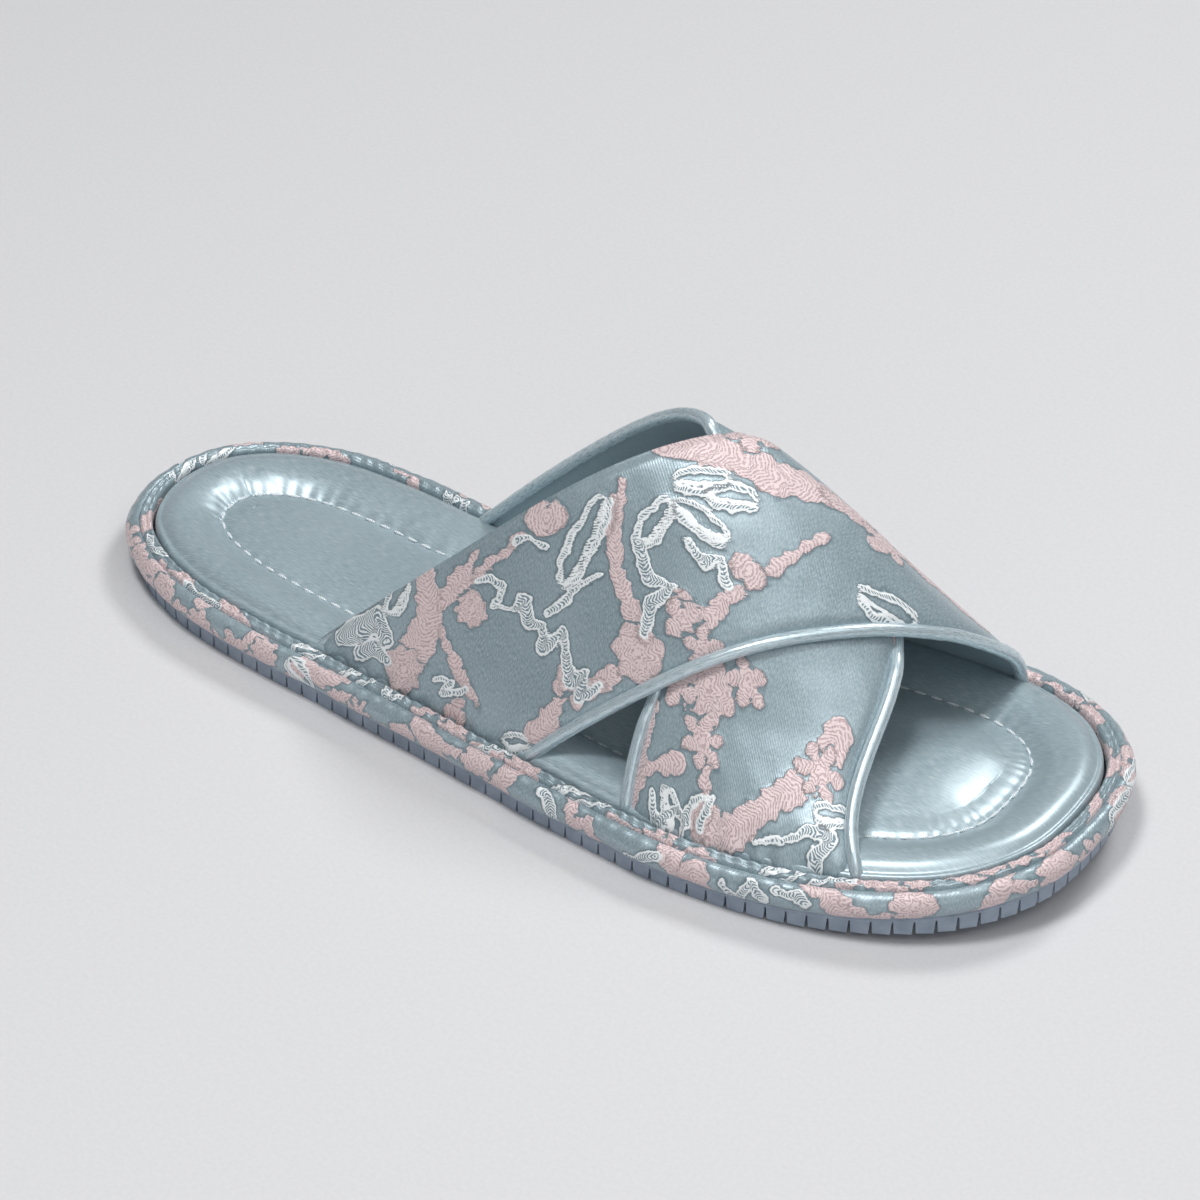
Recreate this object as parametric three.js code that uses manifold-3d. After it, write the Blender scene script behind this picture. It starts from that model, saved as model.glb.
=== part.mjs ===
// A cross-strap house slipper for the right foot, in millimetres.
// Heel to toe runs along +X, the inner side of the foot is +Y, and +Z is up.
import * as THREE from 'three';
import { mergeVertices } from 'three/addons/utils/BufferGeometryUtils.js';
import Module from 'manifold-3d';

const wasm = await Module();
wasm.setup();

// Footbed, the outline that every other outline is offset from
const footbedLength = 250;
const ballWidth = 93;
const heelTipSide = -1;
const toeTipSide = 4.5;
const toeSpring = 6.5;
const springStart = 0.74;
const springPower = 1.8;

// Fit between pieces that touch, and what the padded insole gets on top of that
const clearance = 0.3;
const insoleEase = 0.1;

// Outsole
const outsoleThickness = 4.8;
const outsoleFootOutset = 4.3;
const outsoleTopOutset = 4.9;
const lugPitch = 4.8;
const notchWidth = 1.3;
const notchDepth = 1.9;
const notchHeight = 3.5;

// Platform with its wrapped side wall
const wallHeight = 7.1;
const wallFootOutset = 5.3;
const wallBulge = 2.1;
const seatDepth = 4.2;

// Folded band around the footbed
const bandWidth = 3.3;
const bandInnerOutset = 0.5;
const bandRise = 0.6;

// Padded insole, with heights above its own underside
const insoleEdgeRise = 3.2;
const insoleCrownRise = 7.1;
const panelSeamInset = 16.5;
const panelSeamRise = 2.8;
const panelRise = 4.1;

// Straps and their edge piping
const strapWall = 2.6;
const instepHeight = 70;
const ridgeSide = 0.34;
const sideRoundness = 1.78;
const outerSideSteepness = 1.32;
const innerSideSteepness = 1.05;
const rimRise = 5;
const rimRiseSharpness = 12;
const pipingDiameter = 3.2;
const pipingGap = 0.5;
const strapLapOverlap = 0.3;
const lapEase = 0.25;
const lapFade = 8;

// Mesh fineness
const stepsPerSpan = 3;
const strapSteps = 30;
const strapAcross = 6;
const pipingSides = 8;
const stepCrowding = 0.35;

// Footbed outline: place along its length, and the inner and outer half widths
// as shares of the ball width
const footbedRows = [
  { along: 0.004, inner: 0.072, outer: 0.088 },
  { along: 0.02, inner: 0.165, outer: 0.18 },
  { along: 0.06, inner: 0.253, outer: 0.27 },
  { along: 0.12, inner: 0.31, outer: 0.337 },
  { along: 0.2, inner: 0.318, outer: 0.377 },
  { along: 0.3, inner: 0.3, outer: 0.405 },
  { along: 0.4, inner: 0.317, outer: 0.434 },
  { along: 0.5, inner: 0.36, outer: 0.469 },
  { along: 0.6, inner: 0.413, outer: 0.5 },
  { along: 0.7, inner: 0.458, outer: 0.517 },
  { along: 0.8, inner: 0.482, outer: 0.488 },
  { along: 0.88, inner: 0.463, outer: 0.424 },
  { along: 0.94, inner: 0.392, outer: 0.334 },
  { along: 0.976, inner: 0.293, outer: 0.226 },
  { along: 0.994, inner: 0.19, outer: 0.118 },
];

// Height that the instep ridge adds above the rim rise, as a share of the instep height
const instepRows = [
  { along: 0.1, height: 0.97 },
  { along: 0.26, height: 1 },
  { along: 0.4, height: 1 },
  { along: 0.54, height: 0.945 },
  { along: 0.66, height: 0.795 },
  { along: 0.78, height: 0.475 },
  { along: 0.9, height: 0.12 },
  { along: 1, height: 0.03 },
];

// Strap edges over the last: where each one leaves the rim on the outer and on the
// inner side, and how far it runs forward of the straight way between, at the ridge
// and as a lean to one side, all as shares of the footbed length
const strapEdges = {
  top: {
    rear: { outer: 0.272, inner: 0.668, bow: 0.081, lean: 0.017 },
    front: { outer: 0.53, inner: 0.859, bow: 0.082, lean: 0.008 },
  },
  under: {
    rear: { outer: 0.643, inner: 0.292, bow: 0.168, lean: 0.12 },
    front: { outer: 0.868, inner: 0.564, bow: 0.099, lean: 0.095 },
  },
};

// Sections worked out from the sizes above
const platformFoot = outsoleThickness + clearance;
const rimHeight = platformFoot + wallHeight;
const seatHeight = rimHeight - seatDepth;
const insoleFoot = seatHeight + clearance;
const insoleOutset = bandInnerOutset - clearance - insoleEase;
const strapLine = bandInnerOutset - clearance - pipingDiameter / 2;
const bandOuterOutset = bandInnerOutset + bandWidth;
const bandTop = rimHeight + bandRise;
const wallTopOutset = bandOuterOutset + clearance;
const toeReach = footbedLength / 2 + wallFootOutset + wallBulge;
const springFrom = (springStart - 0.5) * footbedLength;

const stationX = (along) => (along - 0.5) * footbedLength;

const lift = (x) => {
  const share = Math.max(0, (x - springFrom) / (toeReach - springFrom));
  return toeSpring * share ** springPower;
};

// The closed footbed outline, from the heel tip round the inner side to the toe
const innerPoints = footbedRows.map((row) => (
  new THREE.Vector3(stationX(row.along), row.inner * ballWidth, 0)
));
const outerPoints = footbedRows.map((row) => (
  new THREE.Vector3(stationX(row.along), -row.outer * ballWidth, 0)
));
const footbedOutline = new THREE.CatmullRomCurve3([
  new THREE.Vector3(stationX(0), heelTipSide, 0),
  ...innerPoints,
  new THREE.Vector3(stationX(1), toeTipSide, 0),
  ...outerPoints.reverse(),
], true, 'centripetal');
footbedOutline.arcLengthDivisions = 1200;
const outlineCount = footbedOutline.points.length * stepsPerSpan;

const offsetPoint = (point, tangent, outset, height) => {
  const x = point.x - tangent.y * outset;
  const y = point.y + tangent.x * outset;
  return new THREE.Vector3(x, y, height + lift(x));
};

// A ring around the footbed at one outset and height, following the toe spring
const ring = (outset, height) => Array.from({ length: outlineCount }, (_, index) => {
  const t = index / outlineCount;
  return offsetPoint(footbedOutline.getPoint(t), footbedOutline.getTangent(t), outset, height);
});

const solidFrom = (positions, faces) => {
  const geometry = new THREE.BufferGeometry();
  geometry.setAttribute('position', new THREE.Float32BufferAttribute(positions, 3));
  geometry.setIndex(faces);
  return geometry;
};

// Joins rings of equal count into one closed skin, bottom ring first. An open stack
// is closed by ladders of triangles from the inner to the outer side.
const loftRings = (rings, joined = false) => {
  const count = rings[0].length;
  const half = count / 2;
  const faces = [];
  const bands = joined ? rings.length : rings.length - 1;
  for (let band = 0; band < bands; band += 1) {
    const low = band * count;
    const high = ((band + 1) % rings.length) * count;
    for (let index = 0; index < count; index += 1) {
      const next = (index + 1) % count;
      faces.push(low + index, high + next, low + next);
      faces.push(low + index, high + index, high + next);
    }
  }
  if (!joined) {
    const top = (rings.length - 1) * count;
    for (let index = 0; index < half; index += 1) {
      const outerA = (count - index) % count;
      const outerB = count - index - 1;
      if (index < half - 1) {
        faces.push(top + outerA, top + outerB, top + index + 1);
        faces.push(outerA, index + 1, outerB);
      } else {
        faces.push(top + outerA, top + half, top + index);
        faces.push(outerA, index, half);
      }
      if (index > 0 && index < half - 1) {
        faces.push(top + outerA, top + index + 1, top + index);
        faces.push(outerA, index, index + 1);
      }
    }
  }
  return solidFrom(rings.flat().flatMap((point) => point.toArray()), faces);
};

// Outsole: its side is cut into blocks by notches that end below its top edge
const outsoleRing = (outset, height, depth) => {
  const lugs = 2 * Math.round(footbedOutline.getLength() / lugPitch / 2);
  const halfNotch = notchWidth / 2 / lugPitch;
  const points = [];
  for (let lug = 0; lug < lugs; lug += 1) {
    for (const [share, inset] of [[0, depth], [halfNotch, 0], [1 - halfNotch, 0]]) {
      const u = (lug + share) / lugs;
      const point = footbedOutline.getPointAt(u);
      points.push(offsetPoint(point, footbedOutline.getTangentAt(u), outset - inset, height));
    }
  }
  return points;
};

const makeOutsole = () => loftRings([
  outsoleRing(outsoleFootOutset, 0, notchDepth),
  outsoleRing(outsoleTopOutset, notchHeight, notchDepth),
  outsoleRing(outsoleTopOutset, outsoleThickness, 0),
]);

// Platform: a rounded side wall, an upstanding rim, and the seat for the insole
const wallRows = [
  { rise: 0, bulge: 0 },
  { rise: 0.17, bulge: 0.62 },
  { rise: 0.46, bulge: 1 },
  { rise: 0.76, bulge: 0.7 },
  { rise: 0.96, bulge: 0.05 },
];
const makePlatform = () => loftRings([
  ...wallRows.map((row) => (
    ring(wallFootOutset + row.bulge * wallBulge, platformFoot + row.rise * wallHeight)
  )),
  ring(wallTopOutset, rimHeight - 0.1 * wallHeight),
  ring(wallTopOutset, seatHeight),
]);

// Folded band: a rounded strip on edge around the footbed
const bandRows = [
  { across: 0, rise: 0 },
  { across: 1, rise: 0 },
  { across: 1, rise: 0.72 },
  { across: 0.72, rise: 0.97 },
  { across: 0.28, rise: 1 },
  { across: 0, rise: 0.8 },
];
const makeBand = () => {
  const bandHeight = bandTop - insoleFoot;
  return loftRings(bandRows.map((row) => (
    ring(bandInnerOutset + row.across * bandWidth, insoleFoot + row.rise * bandHeight)
  )), true);
};

// Insole: raised border around a lower panel that a seam holds down. Insets are
// shares of the seam's inset, and rises are heights above the underside.
const insoleRows = [
  { inset: 0, rise: 0 },
  { inset: 0, rise: insoleEdgeRise },
  { inset: 0.08, rise: 0.55 * (insoleEdgeRise + insoleCrownRise) },
  { inset: 0.26, rise: 0.93 * insoleCrownRise },
  { inset: 0.46, rise: insoleCrownRise },
  { inset: 0.7, rise: 0.79 * insoleCrownRise },
  { inset: 0.9, rise: 0.6 * (panelSeamRise + 0.25 * insoleCrownRise) },
  { inset: 1, rise: panelSeamRise },
  { inset: 1.12, rise: 0.8 * panelRise },
  { inset: 1.36, rise: panelRise },
];
const makeInsole = () => loftRings(insoleRows.map((row) => (
  ring(insoleOutset - row.inset * panelSeamInset, insoleFoot + row.rise)
)));

// The last's instep: side runs evenly from -1 at the outer rim to 1 at the inner one
const strapRim = ring(strapLine, 0);
const halfOutline = outlineCount / 2;
const rimInner = strapRim.slice(0, halfOutline + 1);
const rimOuter = [strapRim[0], ...strapRim.slice(halfOutline).reverse()];

const valueAt = (rows, x, read) => {
  let index = 1;
  while (index < rows.length - 1 && rows[index].x < x) {
    index += 1;
  }
  const before = rows[index - 1];
  const after = rows[index];
  const share = (x - before.x) / (after.x - before.x);
  return read(before) + (read(after) - read(before)) * share;
};

const ridgeCurve = new THREE.CatmullRomCurve3(instepRows.map((row) => (
  new THREE.Vector3(stationX(row.along), 0, row.height * instepHeight)
)), false, 'centripetal');
const ridgePoints = ridgeCurve.getPoints(instepRows.length * 8);

const instepPoint = (x, side) => {
  const outer = valueAt(rimOuter, x, (point) => point.y);
  const inner = valueAt(rimInner, x, (point) => point.y);
  const y = THREE.MathUtils.lerp(outer, inner, (side + 1) / 2);
  const onOuter = side < ridgeSide;
  const offRidge = onOuter ? (ridgeSide - side) / (ridgeSide + 1) : (side - ridgeSide) / (1 - ridgeSide);
  const steepness = onOuter ? outerSideSteepness : innerSideSteepness;
  const shape = Math.max(0, 1 - offRidge ** sideRoundness) ** steepness;
  const ridge = valueAt(ridgePoints, x, (point) => point.z);
  const start = rimRise * Math.max(0, 1 - Math.abs(side) ** rimRiseSharpness);
  return new THREE.Vector3(x, y, rimHeight + lift(x) + start + ridge * shape);
};

const nudge = 0.001;
const instepDirections = (x, side) => {
  const held = THREE.MathUtils.clamp(side, -1 + nudge, 1 - nudge);
  const along = instepPoint(x + nudge, held).sub(instepPoint(x - nudge, held)).normalize();
  const across = instepPoint(x, held + nudge).sub(instepPoint(x, held - nudge)).normalize();
  const outward = new THREE.Vector3().crossVectors(along, across).normalize();
  return { along, outward };
};

const edgeX = (edge, side) => {
  const share = (side + 1) / 2;
  const straight = edge.outer + (edge.inner - edge.outer) * share;
  return stationX(straight + (edge.bow + edge.lean * side) * (1 - side * side));
};

// A point of a strap, raised off the instep. Straps keep to the rim line at both ends,
// where they bend down into the seam, and stand upright below it.
const strapPoint = (x, side, raise, wall, upright = false) => {
  const fade = 1 - Math.abs(side) ** lapFade;
  const { outward } = instepDirections(x, side);
  const level = outward.clone().setZ(0).normalize();
  if (upright) {
    outward.copy(level);
  } else if (fade === 0) {
    outward.add(level).normalize();
  }
  return instepPoint(x, side).addScaledVector(outward, raise * fade + wall);
};

// How far a strap's edge moves in x to stand one distance off its piping, judged on
// the strap's inner skin and on the ways to the points before and after
const edgeShift = (edge, side, raise, distance) => {
  const onEdge = (place) => strapPoint(edgeX(edge, place), place, raise, 0);
  const { along } = instepDirections(edgeX(edge, side), side);
  const shifts = [-2, 2].map((way) => side + way / strapSteps).filter((near) => (
    Math.abs(near) <= 1
  )).map((near) => {
    const run = onEdge(near).sub(onEdge(side)).normalize();
    return distance / along.clone().cross(run).length();
  });
  return Math.max(...shifts);
};

// Steps from the outer rim to the inner one, closer together towards the rims
const sideSteps = Array.from({ length: strapSteps + 1 }, (_, index) => {
  const even = (2 * index) / strapSteps - 1;
  return even * (1 + stepCrowding * (1 - even * even));
});

// One strap as a closed shell. For cutting its slot it grows thicker and deeper, and
// runs on to the middle of its piping.
const makeStrap = (edges, raise, grow = 0) => {
  const gap = grow > 0 ? 0 : pipingDiameter / 2 + pipingGap;
  const wall = strapWall / 2 + grow;
  const rows = [];
  const addRow = (side, drop) => {
    const skinRaise = raise - strapWall / 2;
    const rear = edgeX(edges.rear, side) + edgeShift(edges.rear, side, skinRaise, gap);
    const front = edgeX(edges.front, side) - edgeShift(edges.front, side, skinRaise, gap);
    const loop = [];
    for (const [skin, from, to] of [[wall + grow, 0, strapAcross], [-wall, strapAcross, 0]]) {
      const step = Math.sign(to - from);
      for (let column = from; column !== to + step; column += step) {
        const x = rear + (front - rear) * (column / strapAcross);
        const lap = skin < 0 && raise > 0 ? strapLapOverlap : 0;
        const point = strapPoint(x, side, raise - lap, skin, drop > 0);
        point.z -= drop;
        loop.push(point);
      }
    }
    rows.push(loop);
  };
  const drop = rimHeight - insoleFoot + grow;
  addRow(-1, drop);
  sideSteps.forEach((side) => addRow(side, 0));
  addRow(1, drop);
  const count = rows[0].length;
  const faces = [];
  for (let row = 0; row < rows.length - 1; row += 1) {
    for (let index = 0; index < count; index += 1) {
      const next = (index + 1) % count;
      const low = row * count;
      const high = low + count;
      faces.push(low + index, low + next, high + next);
      faces.push(low + index, high + next, high + index);
    }
  }
  const last = (rows.length - 1) * count;
  for (let column = 0; column < strapAcross; column += 1) {
    const under = count - 1 - column;
    faces.push(column, under, under - 1, column, under - 1, column + 1);
    faces.push(last + column, last + under - 1, last + under);
    faces.push(last + column, last + column + 1, last + under - 1);
  }
  return solidFrom(rows.flat().flatMap((point) => point.toArray()), faces);
};

// A route that bends only at its points, one step for each
class PointRoute extends THREE.Curve {
  constructor(points) {
    super();
    this.points = points;
  }

  getPoint(t, target = new THREE.Vector3()) {
    const place = THREE.MathUtils.clamp(t, 0, 1) * (this.points.length - 1);
    const index = Math.min(Math.floor(place), this.points.length - 2);
    return target.lerpVectors(this.points[index], this.points[index + 1], place - index);
  }

  getPointAt(u, target) {
    return this.getPoint(u, target);
  }

  getTangentAt(u, target) {
    return this.getTangent(u, target);
  }
}

// Piping: a cord along a strap's edge that dives into the seam at both ends. For
// cutting its slot it grows thicker and reaches deeper.
const makePiping = (edge, raise, grow = 0) => {
  const radius = pipingDiameter / 2 + grow;
  const foot = rimHeight - insoleFoot - clearance;
  const path = sideSteps.map((side) => strapPoint(edgeX(edge, side), side, raise, 0));
  const ends = [path[0], path[path.length - 1]].map((point) => (
    point.clone().setZ(point.z - foot)
  ));
  path.unshift(ends[0]);
  path.push(ends[1]);
  if (grow > 0) {
    const depth = 2 * clearance + grow;
    path.unshift(ends[0].clone().setZ(ends[0].z - depth));
    path.push(ends[1].clone().setZ(ends[1].z - depth));
  }
  const route = new PointRoute(path);
  const circle = new THREE.Shape();
  for (let side = 0; side < pipingSides; side += 1) {
    const angle = (side / pipingSides) * Math.PI * 2;
    const x = radius * Math.cos(angle);
    const y = radius * Math.sin(angle);
    if (side === 0) {
      circle.moveTo(x, y);
    } else {
      circle.lineTo(x, y);
    }
  }
  circle.closePath();
  const steps = path.length - 1;
  return new THREE.ExtrudeGeometry(circle, { steps, extrudePath: route, bevelEnabled: false });
};

// Boolean cuts and joins on closed meshes
const toManifold = (geometry) => {
  const bare = geometry.clone();
  bare.deleteAttribute('normal');
  bare.deleteAttribute('uv');
  const merged = mergeVertices(bare, 1e-4);
  return new wasm.Manifold(new wasm.Mesh({
    numProp: 3,
    vertProperties: new Float32Array(merged.attributes.position.array),
    triVerts: new Uint32Array(merged.index.array),
  }));
};

const fromManifold = (manifold) => {
  const mesh = manifold.getMesh();
  return solidFrom(Array.from(mesh.vertProperties), Array.from(mesh.triVerts));
};

const strapRaise = strapWall / 2;
const pipingRaise = pipingDiameter / 2 + clearance + strapLapOverlap + lapEase;
const lifts = { top: 1, under: -1 };
const pipingEdges = Object.keys(strapEdges).flatMap((layer) => (
  ['rear', 'front'].map((end) => ({
    name: `piping_${layer}_${end}`,
    edge: strapEdges[layer][end],
    raise: pipingRaise * lifts[layer],
  }))
));

const makeUpper = () => {
  const [top, under] = Object.keys(strapEdges).map((layer) => (
    toManifold(makeStrap(strapEdges[layer], strapRaise * lifts[layer]))
  ));
  return fromManifold(top.add(under));
};

// The insole is slotted where straps and piping go down into the rim seam
const makeSlottedInsole = () => {
  let insole = toManifold(makeInsole());
  for (const layer of Object.keys(strapEdges)) {
    const strap = makeStrap(strapEdges[layer], strapRaise * lifts[layer], clearance + insoleEase);
    insole = insole.subtract(toManifold(strap));
  }
  for (const { edge, raise } of pipingEdges) {
    insole = insole.subtract(toManifold(makePiping(edge, raise, clearance + insoleEase)));
  }
  return fromManifold(insole);
};

const rubber = { color: 0x7c8a9c, roughness: 0.62, metalness: 0 };
const brocade = { color: 0x8ba1a8, roughness: 0.5, metalness: 0 };
const satin = { color: 0x9fb6bd, roughness: 0.36, metalness: 0 };
const satinCord = { color: 0xa3b9c1, roughness: 0.38, metalness: 0 };

const slipper = new THREE.Group();
const addPiece = (name, geometry, finish) => {
  const mesh = new THREE.Mesh(geometry, new THREE.MeshStandardMaterial(finish));
  mesh.name = name;
  slipper.add(mesh);
};

addPiece('outsole', makeOutsole(), rubber);
addPiece('platform_wrap', makePlatform(), brocade);
addPiece('rim_band', makeBand(), brocade);
addPiece('insole', makeSlottedInsole(), satin);
addPiece('upper', makeUpper(), brocade);
for (const { name, edge, raise } of pipingEdges) {
  addPiece(name, makePiping(edge, raise), satinCord);
}

// The origin is at the middle of the floor under the slipper
const reach = new THREE.Box3().setFromObject(slipper);
const middle = reach.getCenter(new THREE.Vector3());
slipper.position.set(-middle.x, -middle.y, -reach.min.z);

export default slipper;
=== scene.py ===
import math
import bpy
import numpy as np
from mathutils import Matrix, Vector
from mathutils.kdtree import KDTree


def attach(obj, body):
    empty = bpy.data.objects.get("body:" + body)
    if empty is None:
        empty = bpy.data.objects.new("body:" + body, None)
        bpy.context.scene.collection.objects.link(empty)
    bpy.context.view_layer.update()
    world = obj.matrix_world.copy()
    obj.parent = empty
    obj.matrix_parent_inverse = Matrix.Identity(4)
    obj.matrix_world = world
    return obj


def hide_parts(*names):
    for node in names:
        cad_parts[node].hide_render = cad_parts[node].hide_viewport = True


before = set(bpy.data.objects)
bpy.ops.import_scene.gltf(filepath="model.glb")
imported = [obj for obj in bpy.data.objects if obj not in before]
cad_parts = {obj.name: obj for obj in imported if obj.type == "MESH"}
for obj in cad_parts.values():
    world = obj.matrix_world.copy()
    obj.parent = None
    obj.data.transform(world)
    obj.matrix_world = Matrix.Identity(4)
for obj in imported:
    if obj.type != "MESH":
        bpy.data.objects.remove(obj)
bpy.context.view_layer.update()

metre = 0.001  # the tables below are in millimetres

# The last and the footbed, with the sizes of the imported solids
last = {
    "length": 250, "ballWidth": 93, "heelTipSide": -1, "toeTipSide": 4.5,
    "toeSpring": 6.5, "springFrom": 60, "springTo": 132.4, "springPower": 1.8,
    "rimHeight": 12.2, "rimRise": 5, "rimSharpness": 12,
    "instepHeight": 70, "ridgeSide": 0.34, "sideRoundness": 1.78,
    "outerSteepness": 1.32, "innerSteepness": 1.05,
    "strapLine": -1.4, "widestOutset": 7.4,
}
# Place along the footbed, then inner and outer half width as shares of the ball width
footbedRows = [
    (0.004, 0.072, 0.088), (0.02, 0.165, 0.18), (0.06, 0.253, 0.27), (0.12, 0.31, 0.337),
    (0.2, 0.318, 0.377), (0.3, 0.3, 0.405), (0.4, 0.317, 0.434), (0.5, 0.36, 0.469),
    (0.6, 0.413, 0.5), (0.7, 0.458, 0.517), (0.8, 0.482, 0.488), (0.88, 0.463, 0.424),
    (0.94, 0.392, 0.334), (0.976, 0.293, 0.226), (0.994, 0.19, 0.118),
]
instepRows = [
    (0.1, 0.97), (0.26, 1), (0.4, 1), (0.54, 0.945), (0.66, 0.795), (0.78, 0.475),
    (0.9, 0.12), (1, 0.03),
]
# Each edge: where it leaves the outer and the inner rim, its bow and its lean
strapEdges = {
    "top": {"rear": (0.272, 0.668, 0.081, 0.017), "front": (0.53, 0.859, 0.082, 0.008)},
    "under": {"rear": (0.643, 0.292, 0.168, 0.12), "front": (0.868, 0.564, 0.099, 0.095)},
}


def stationX(along):
    return (along - 0.5) * last["length"]


def lift(x):
    share = np.clip((x - last["springFrom"]) / (last["springTo"] - last["springFrom"]), 0, None)
    return last["toeSpring"] * share ** last["springPower"]


def smoothPath(points, closed, perSpan=40):
    pts = np.asarray(points, float)
    count = len(pts)
    steps = np.arange(perSpan)[:, None] / perSpan
    parts = []
    for i in range(count if closed else count - 1):
        p1, p2 = pts[i], pts[(i + 1) % count]
        p0 = pts[i - 1] if closed or i else 2 * p1 - p2
        p3 = pts[(i + 2) % count] if closed or i + 2 < count else 2 * p2 - p1
        d0, d1, d2 = (math.sqrt(np.linalg.norm(b - a)) for a, b in ((p0, p1), (p1, p2), (p2, p3)))
        m1 = d1 * ((p1 - p0) / d0 - (p2 - p0) / (d0 + d1) + (p2 - p1) / d1)
        m2 = d1 * ((p2 - p1) / d1 - (p3 - p1) / (d1 + d2) + (p3 - p2) / d2)
        parts.append(p1 + m1 * steps + (3 * (p2 - p1) - 2 * m1 - m2) * steps ** 2
                     + (2 * (p1 - p2) + m1 + m2) * steps ** 3)
    if not closed:
        parts.append(pts[-1:])
    return np.vstack(parts)


def evenly(path, count, closed=True):
    loop = np.vstack([path, path[:1]]) if closed else path
    run = np.concatenate([[0], np.cumsum(np.linalg.norm(np.diff(loop, axis=0), axis=1))])
    at = np.linspace(0, run[-1], count, endpoint=not closed)
    return np.stack([np.interp(at, run, loop[:, k]) for k in range(loop.shape[1])], axis=1), run[-1]


innerSide = [(stationX(a), i * last["ballWidth"]) for a, i, o in footbedRows]
outerSide = [(stationX(a), -o * last["ballWidth"]) for a, i, o in footbedRows]
outlinePath = smoothPath([(stationX(0), last["heelTipSide"]), *innerSide,
                          (stationX(1), last["toeTipSide"]), *outerSide[::-1]], True)
outlineLength = evenly(outlinePath, 8)[1]


def outline(count):
    pts = evenly(outlinePath, count)[0]
    ahead = np.roll(pts, -1, axis=0) - np.roll(pts, 1, axis=0)
    ahead /= np.linalg.norm(ahead, axis=1)[:, None]
    return pts, np.stack([-ahead[:, 1], ahead[:, 0]], axis=1)


def ring(outset, height, count):
    pts, outward = outline(count)
    flat = pts + outward * np.reshape(outset, (-1, 1))
    return np.column_stack([flat, height + lift(flat[:, 0])])


widest = ring(last["widestOutset"], 0, 1600)
sideShift = -(widest[:, 1].min() + widest[:, 1].max()) / 2

strapRim = ring(last["strapLine"], 0, 1600)
rimInner = strapRim[:801]
rimOuter = np.vstack([strapRim[:1], strapRim[800:][::-1]])
ridgePath = smoothPath([(stationX(a), h * last["instepHeight"]) for a, h in instepRows], False)


def instep(x, side):
    outer = np.interp(x, rimOuter[:, 0], rimOuter[:, 1])
    inner = np.interp(x, rimInner[:, 0], rimInner[:, 1])
    y = outer + (inner - outer) * (side + 1) / 2
    r = last["ridgeSide"]
    off = np.where(side < r, (r - side) / (r + 1), (side - r) / (1 - r))
    steep = np.where(side < r, last["outerSteepness"], last["innerSteepness"])
    shape = np.clip(1 - np.clip(off, 0, 1) ** last["sideRoundness"], 0, None) ** steep
    ridge = np.interp(x, ridgePath[:, 0], ridgePath[:, 1])
    start = last["rimRise"] * np.clip(1 - np.abs(side) ** last["rimSharpness"], 0, None)
    return np.stack([x, y, last["rimHeight"] + lift(x) + start + ridge * shape], axis=-1)


def instepNormal(x, side, step=0.006):
    held = np.clip(side, -1 + step, 1 - step)
    along = instep(x + 0.5, held) - instep(x - 0.5, held)
    across = instep(x, held + step) - instep(x, held - step)
    normal = np.cross(along, across)
    normal /= np.linalg.norm(normal, axis=-1, keepdims=True)
    level = normal * (1, 1, 0)
    level /= np.linalg.norm(level, axis=-1, keepdims=True)
    upright = np.clip((np.abs(side) - 0.985) / 0.015, 0, 1)[..., None]
    normal = normal * (1 - upright) + level * upright
    return normal / np.linalg.norm(normal, axis=-1, keepdims=True)


def edgeX(edge, side):
    outer, inner, bow, lean = edge
    return stationX(outer + (inner - outer) * (side + 1) / 2 + (bow + lean * side) * (1 - side * side))


def smoothStep(low, high, value):
    share = np.clip((value - low) / (high - low), 0, 1)
    return share * share * (3 - 2 * share)


def softNoise(u, v, size, seed, waves=7):
    rng = np.random.default_rng(seed)
    total = np.zeros(np.broadcast(u, v).shape)
    for angle, phase, stretch in zip(rng.uniform(0, math.tau, waves), rng.uniform(0, math.tau, waves),
                                     rng.uniform(0.7, 1.5, waves)):
        total += np.sin((u * math.cos(angle) + v * math.sin(angle)) * math.tau * stretch / size + phase)
    return total / waves


def readPoints(data):
    flat = np.empty(len(data.vertices) * 3)
    data.vertices.foreach_get("co", flat)
    return flat.reshape(-1, 3)


def turnOutward(data):
    # a closed shape whose signed volume is negative has its faces turned inwards
    data.calc_loop_triangles()
    corners = np.empty(len(data.loop_triangles) * 3, dtype=np.int32)
    data.loop_triangles.foreach_get("vertices", corners)
    a, b, c = readPoints(data)[corners.reshape(-1, 3)].transpose(1, 0, 2)
    if np.sum(a * np.cross(b, c)) < 0:
        data.flip_normals()


def makeMesh(name, points, faces, uvs=None, fields=None, slots=None):
    placed = np.asarray(points, float) * metre
    placed[:, 1] += sideShift * metre
    data = bpy.data.meshes.new(name)
    data.from_pydata(placed.tolist(), [], [list(map(int, f)) for f in faces])
    data.update()
    turnOutward(data)
    corners = np.empty(len(data.loops), dtype=np.int32)
    data.loops.foreach_get("vertex_index", corners)
    if uvs is not None:
        data.uv_layers.new(name="UVMap").data.foreach_set("uv", np.asarray(uvs, float)[corners].ravel())
    for key, values in (fields or {}).items():
        data.attributes.new(key, "FLOAT", "POINT").data.foreach_set("value", np.asarray(values, float))
    if slots is not None:
        data.polygons.foreach_set("material_index", np.asarray(slots, dtype=np.int32))
    data.polygons.foreach_set("use_smooth", [True] * len(data.polygons))
    piece = bpy.data.objects.new(name, data)
    bpy.context.scene.collection.objects.link(piece)
    return piece


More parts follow.
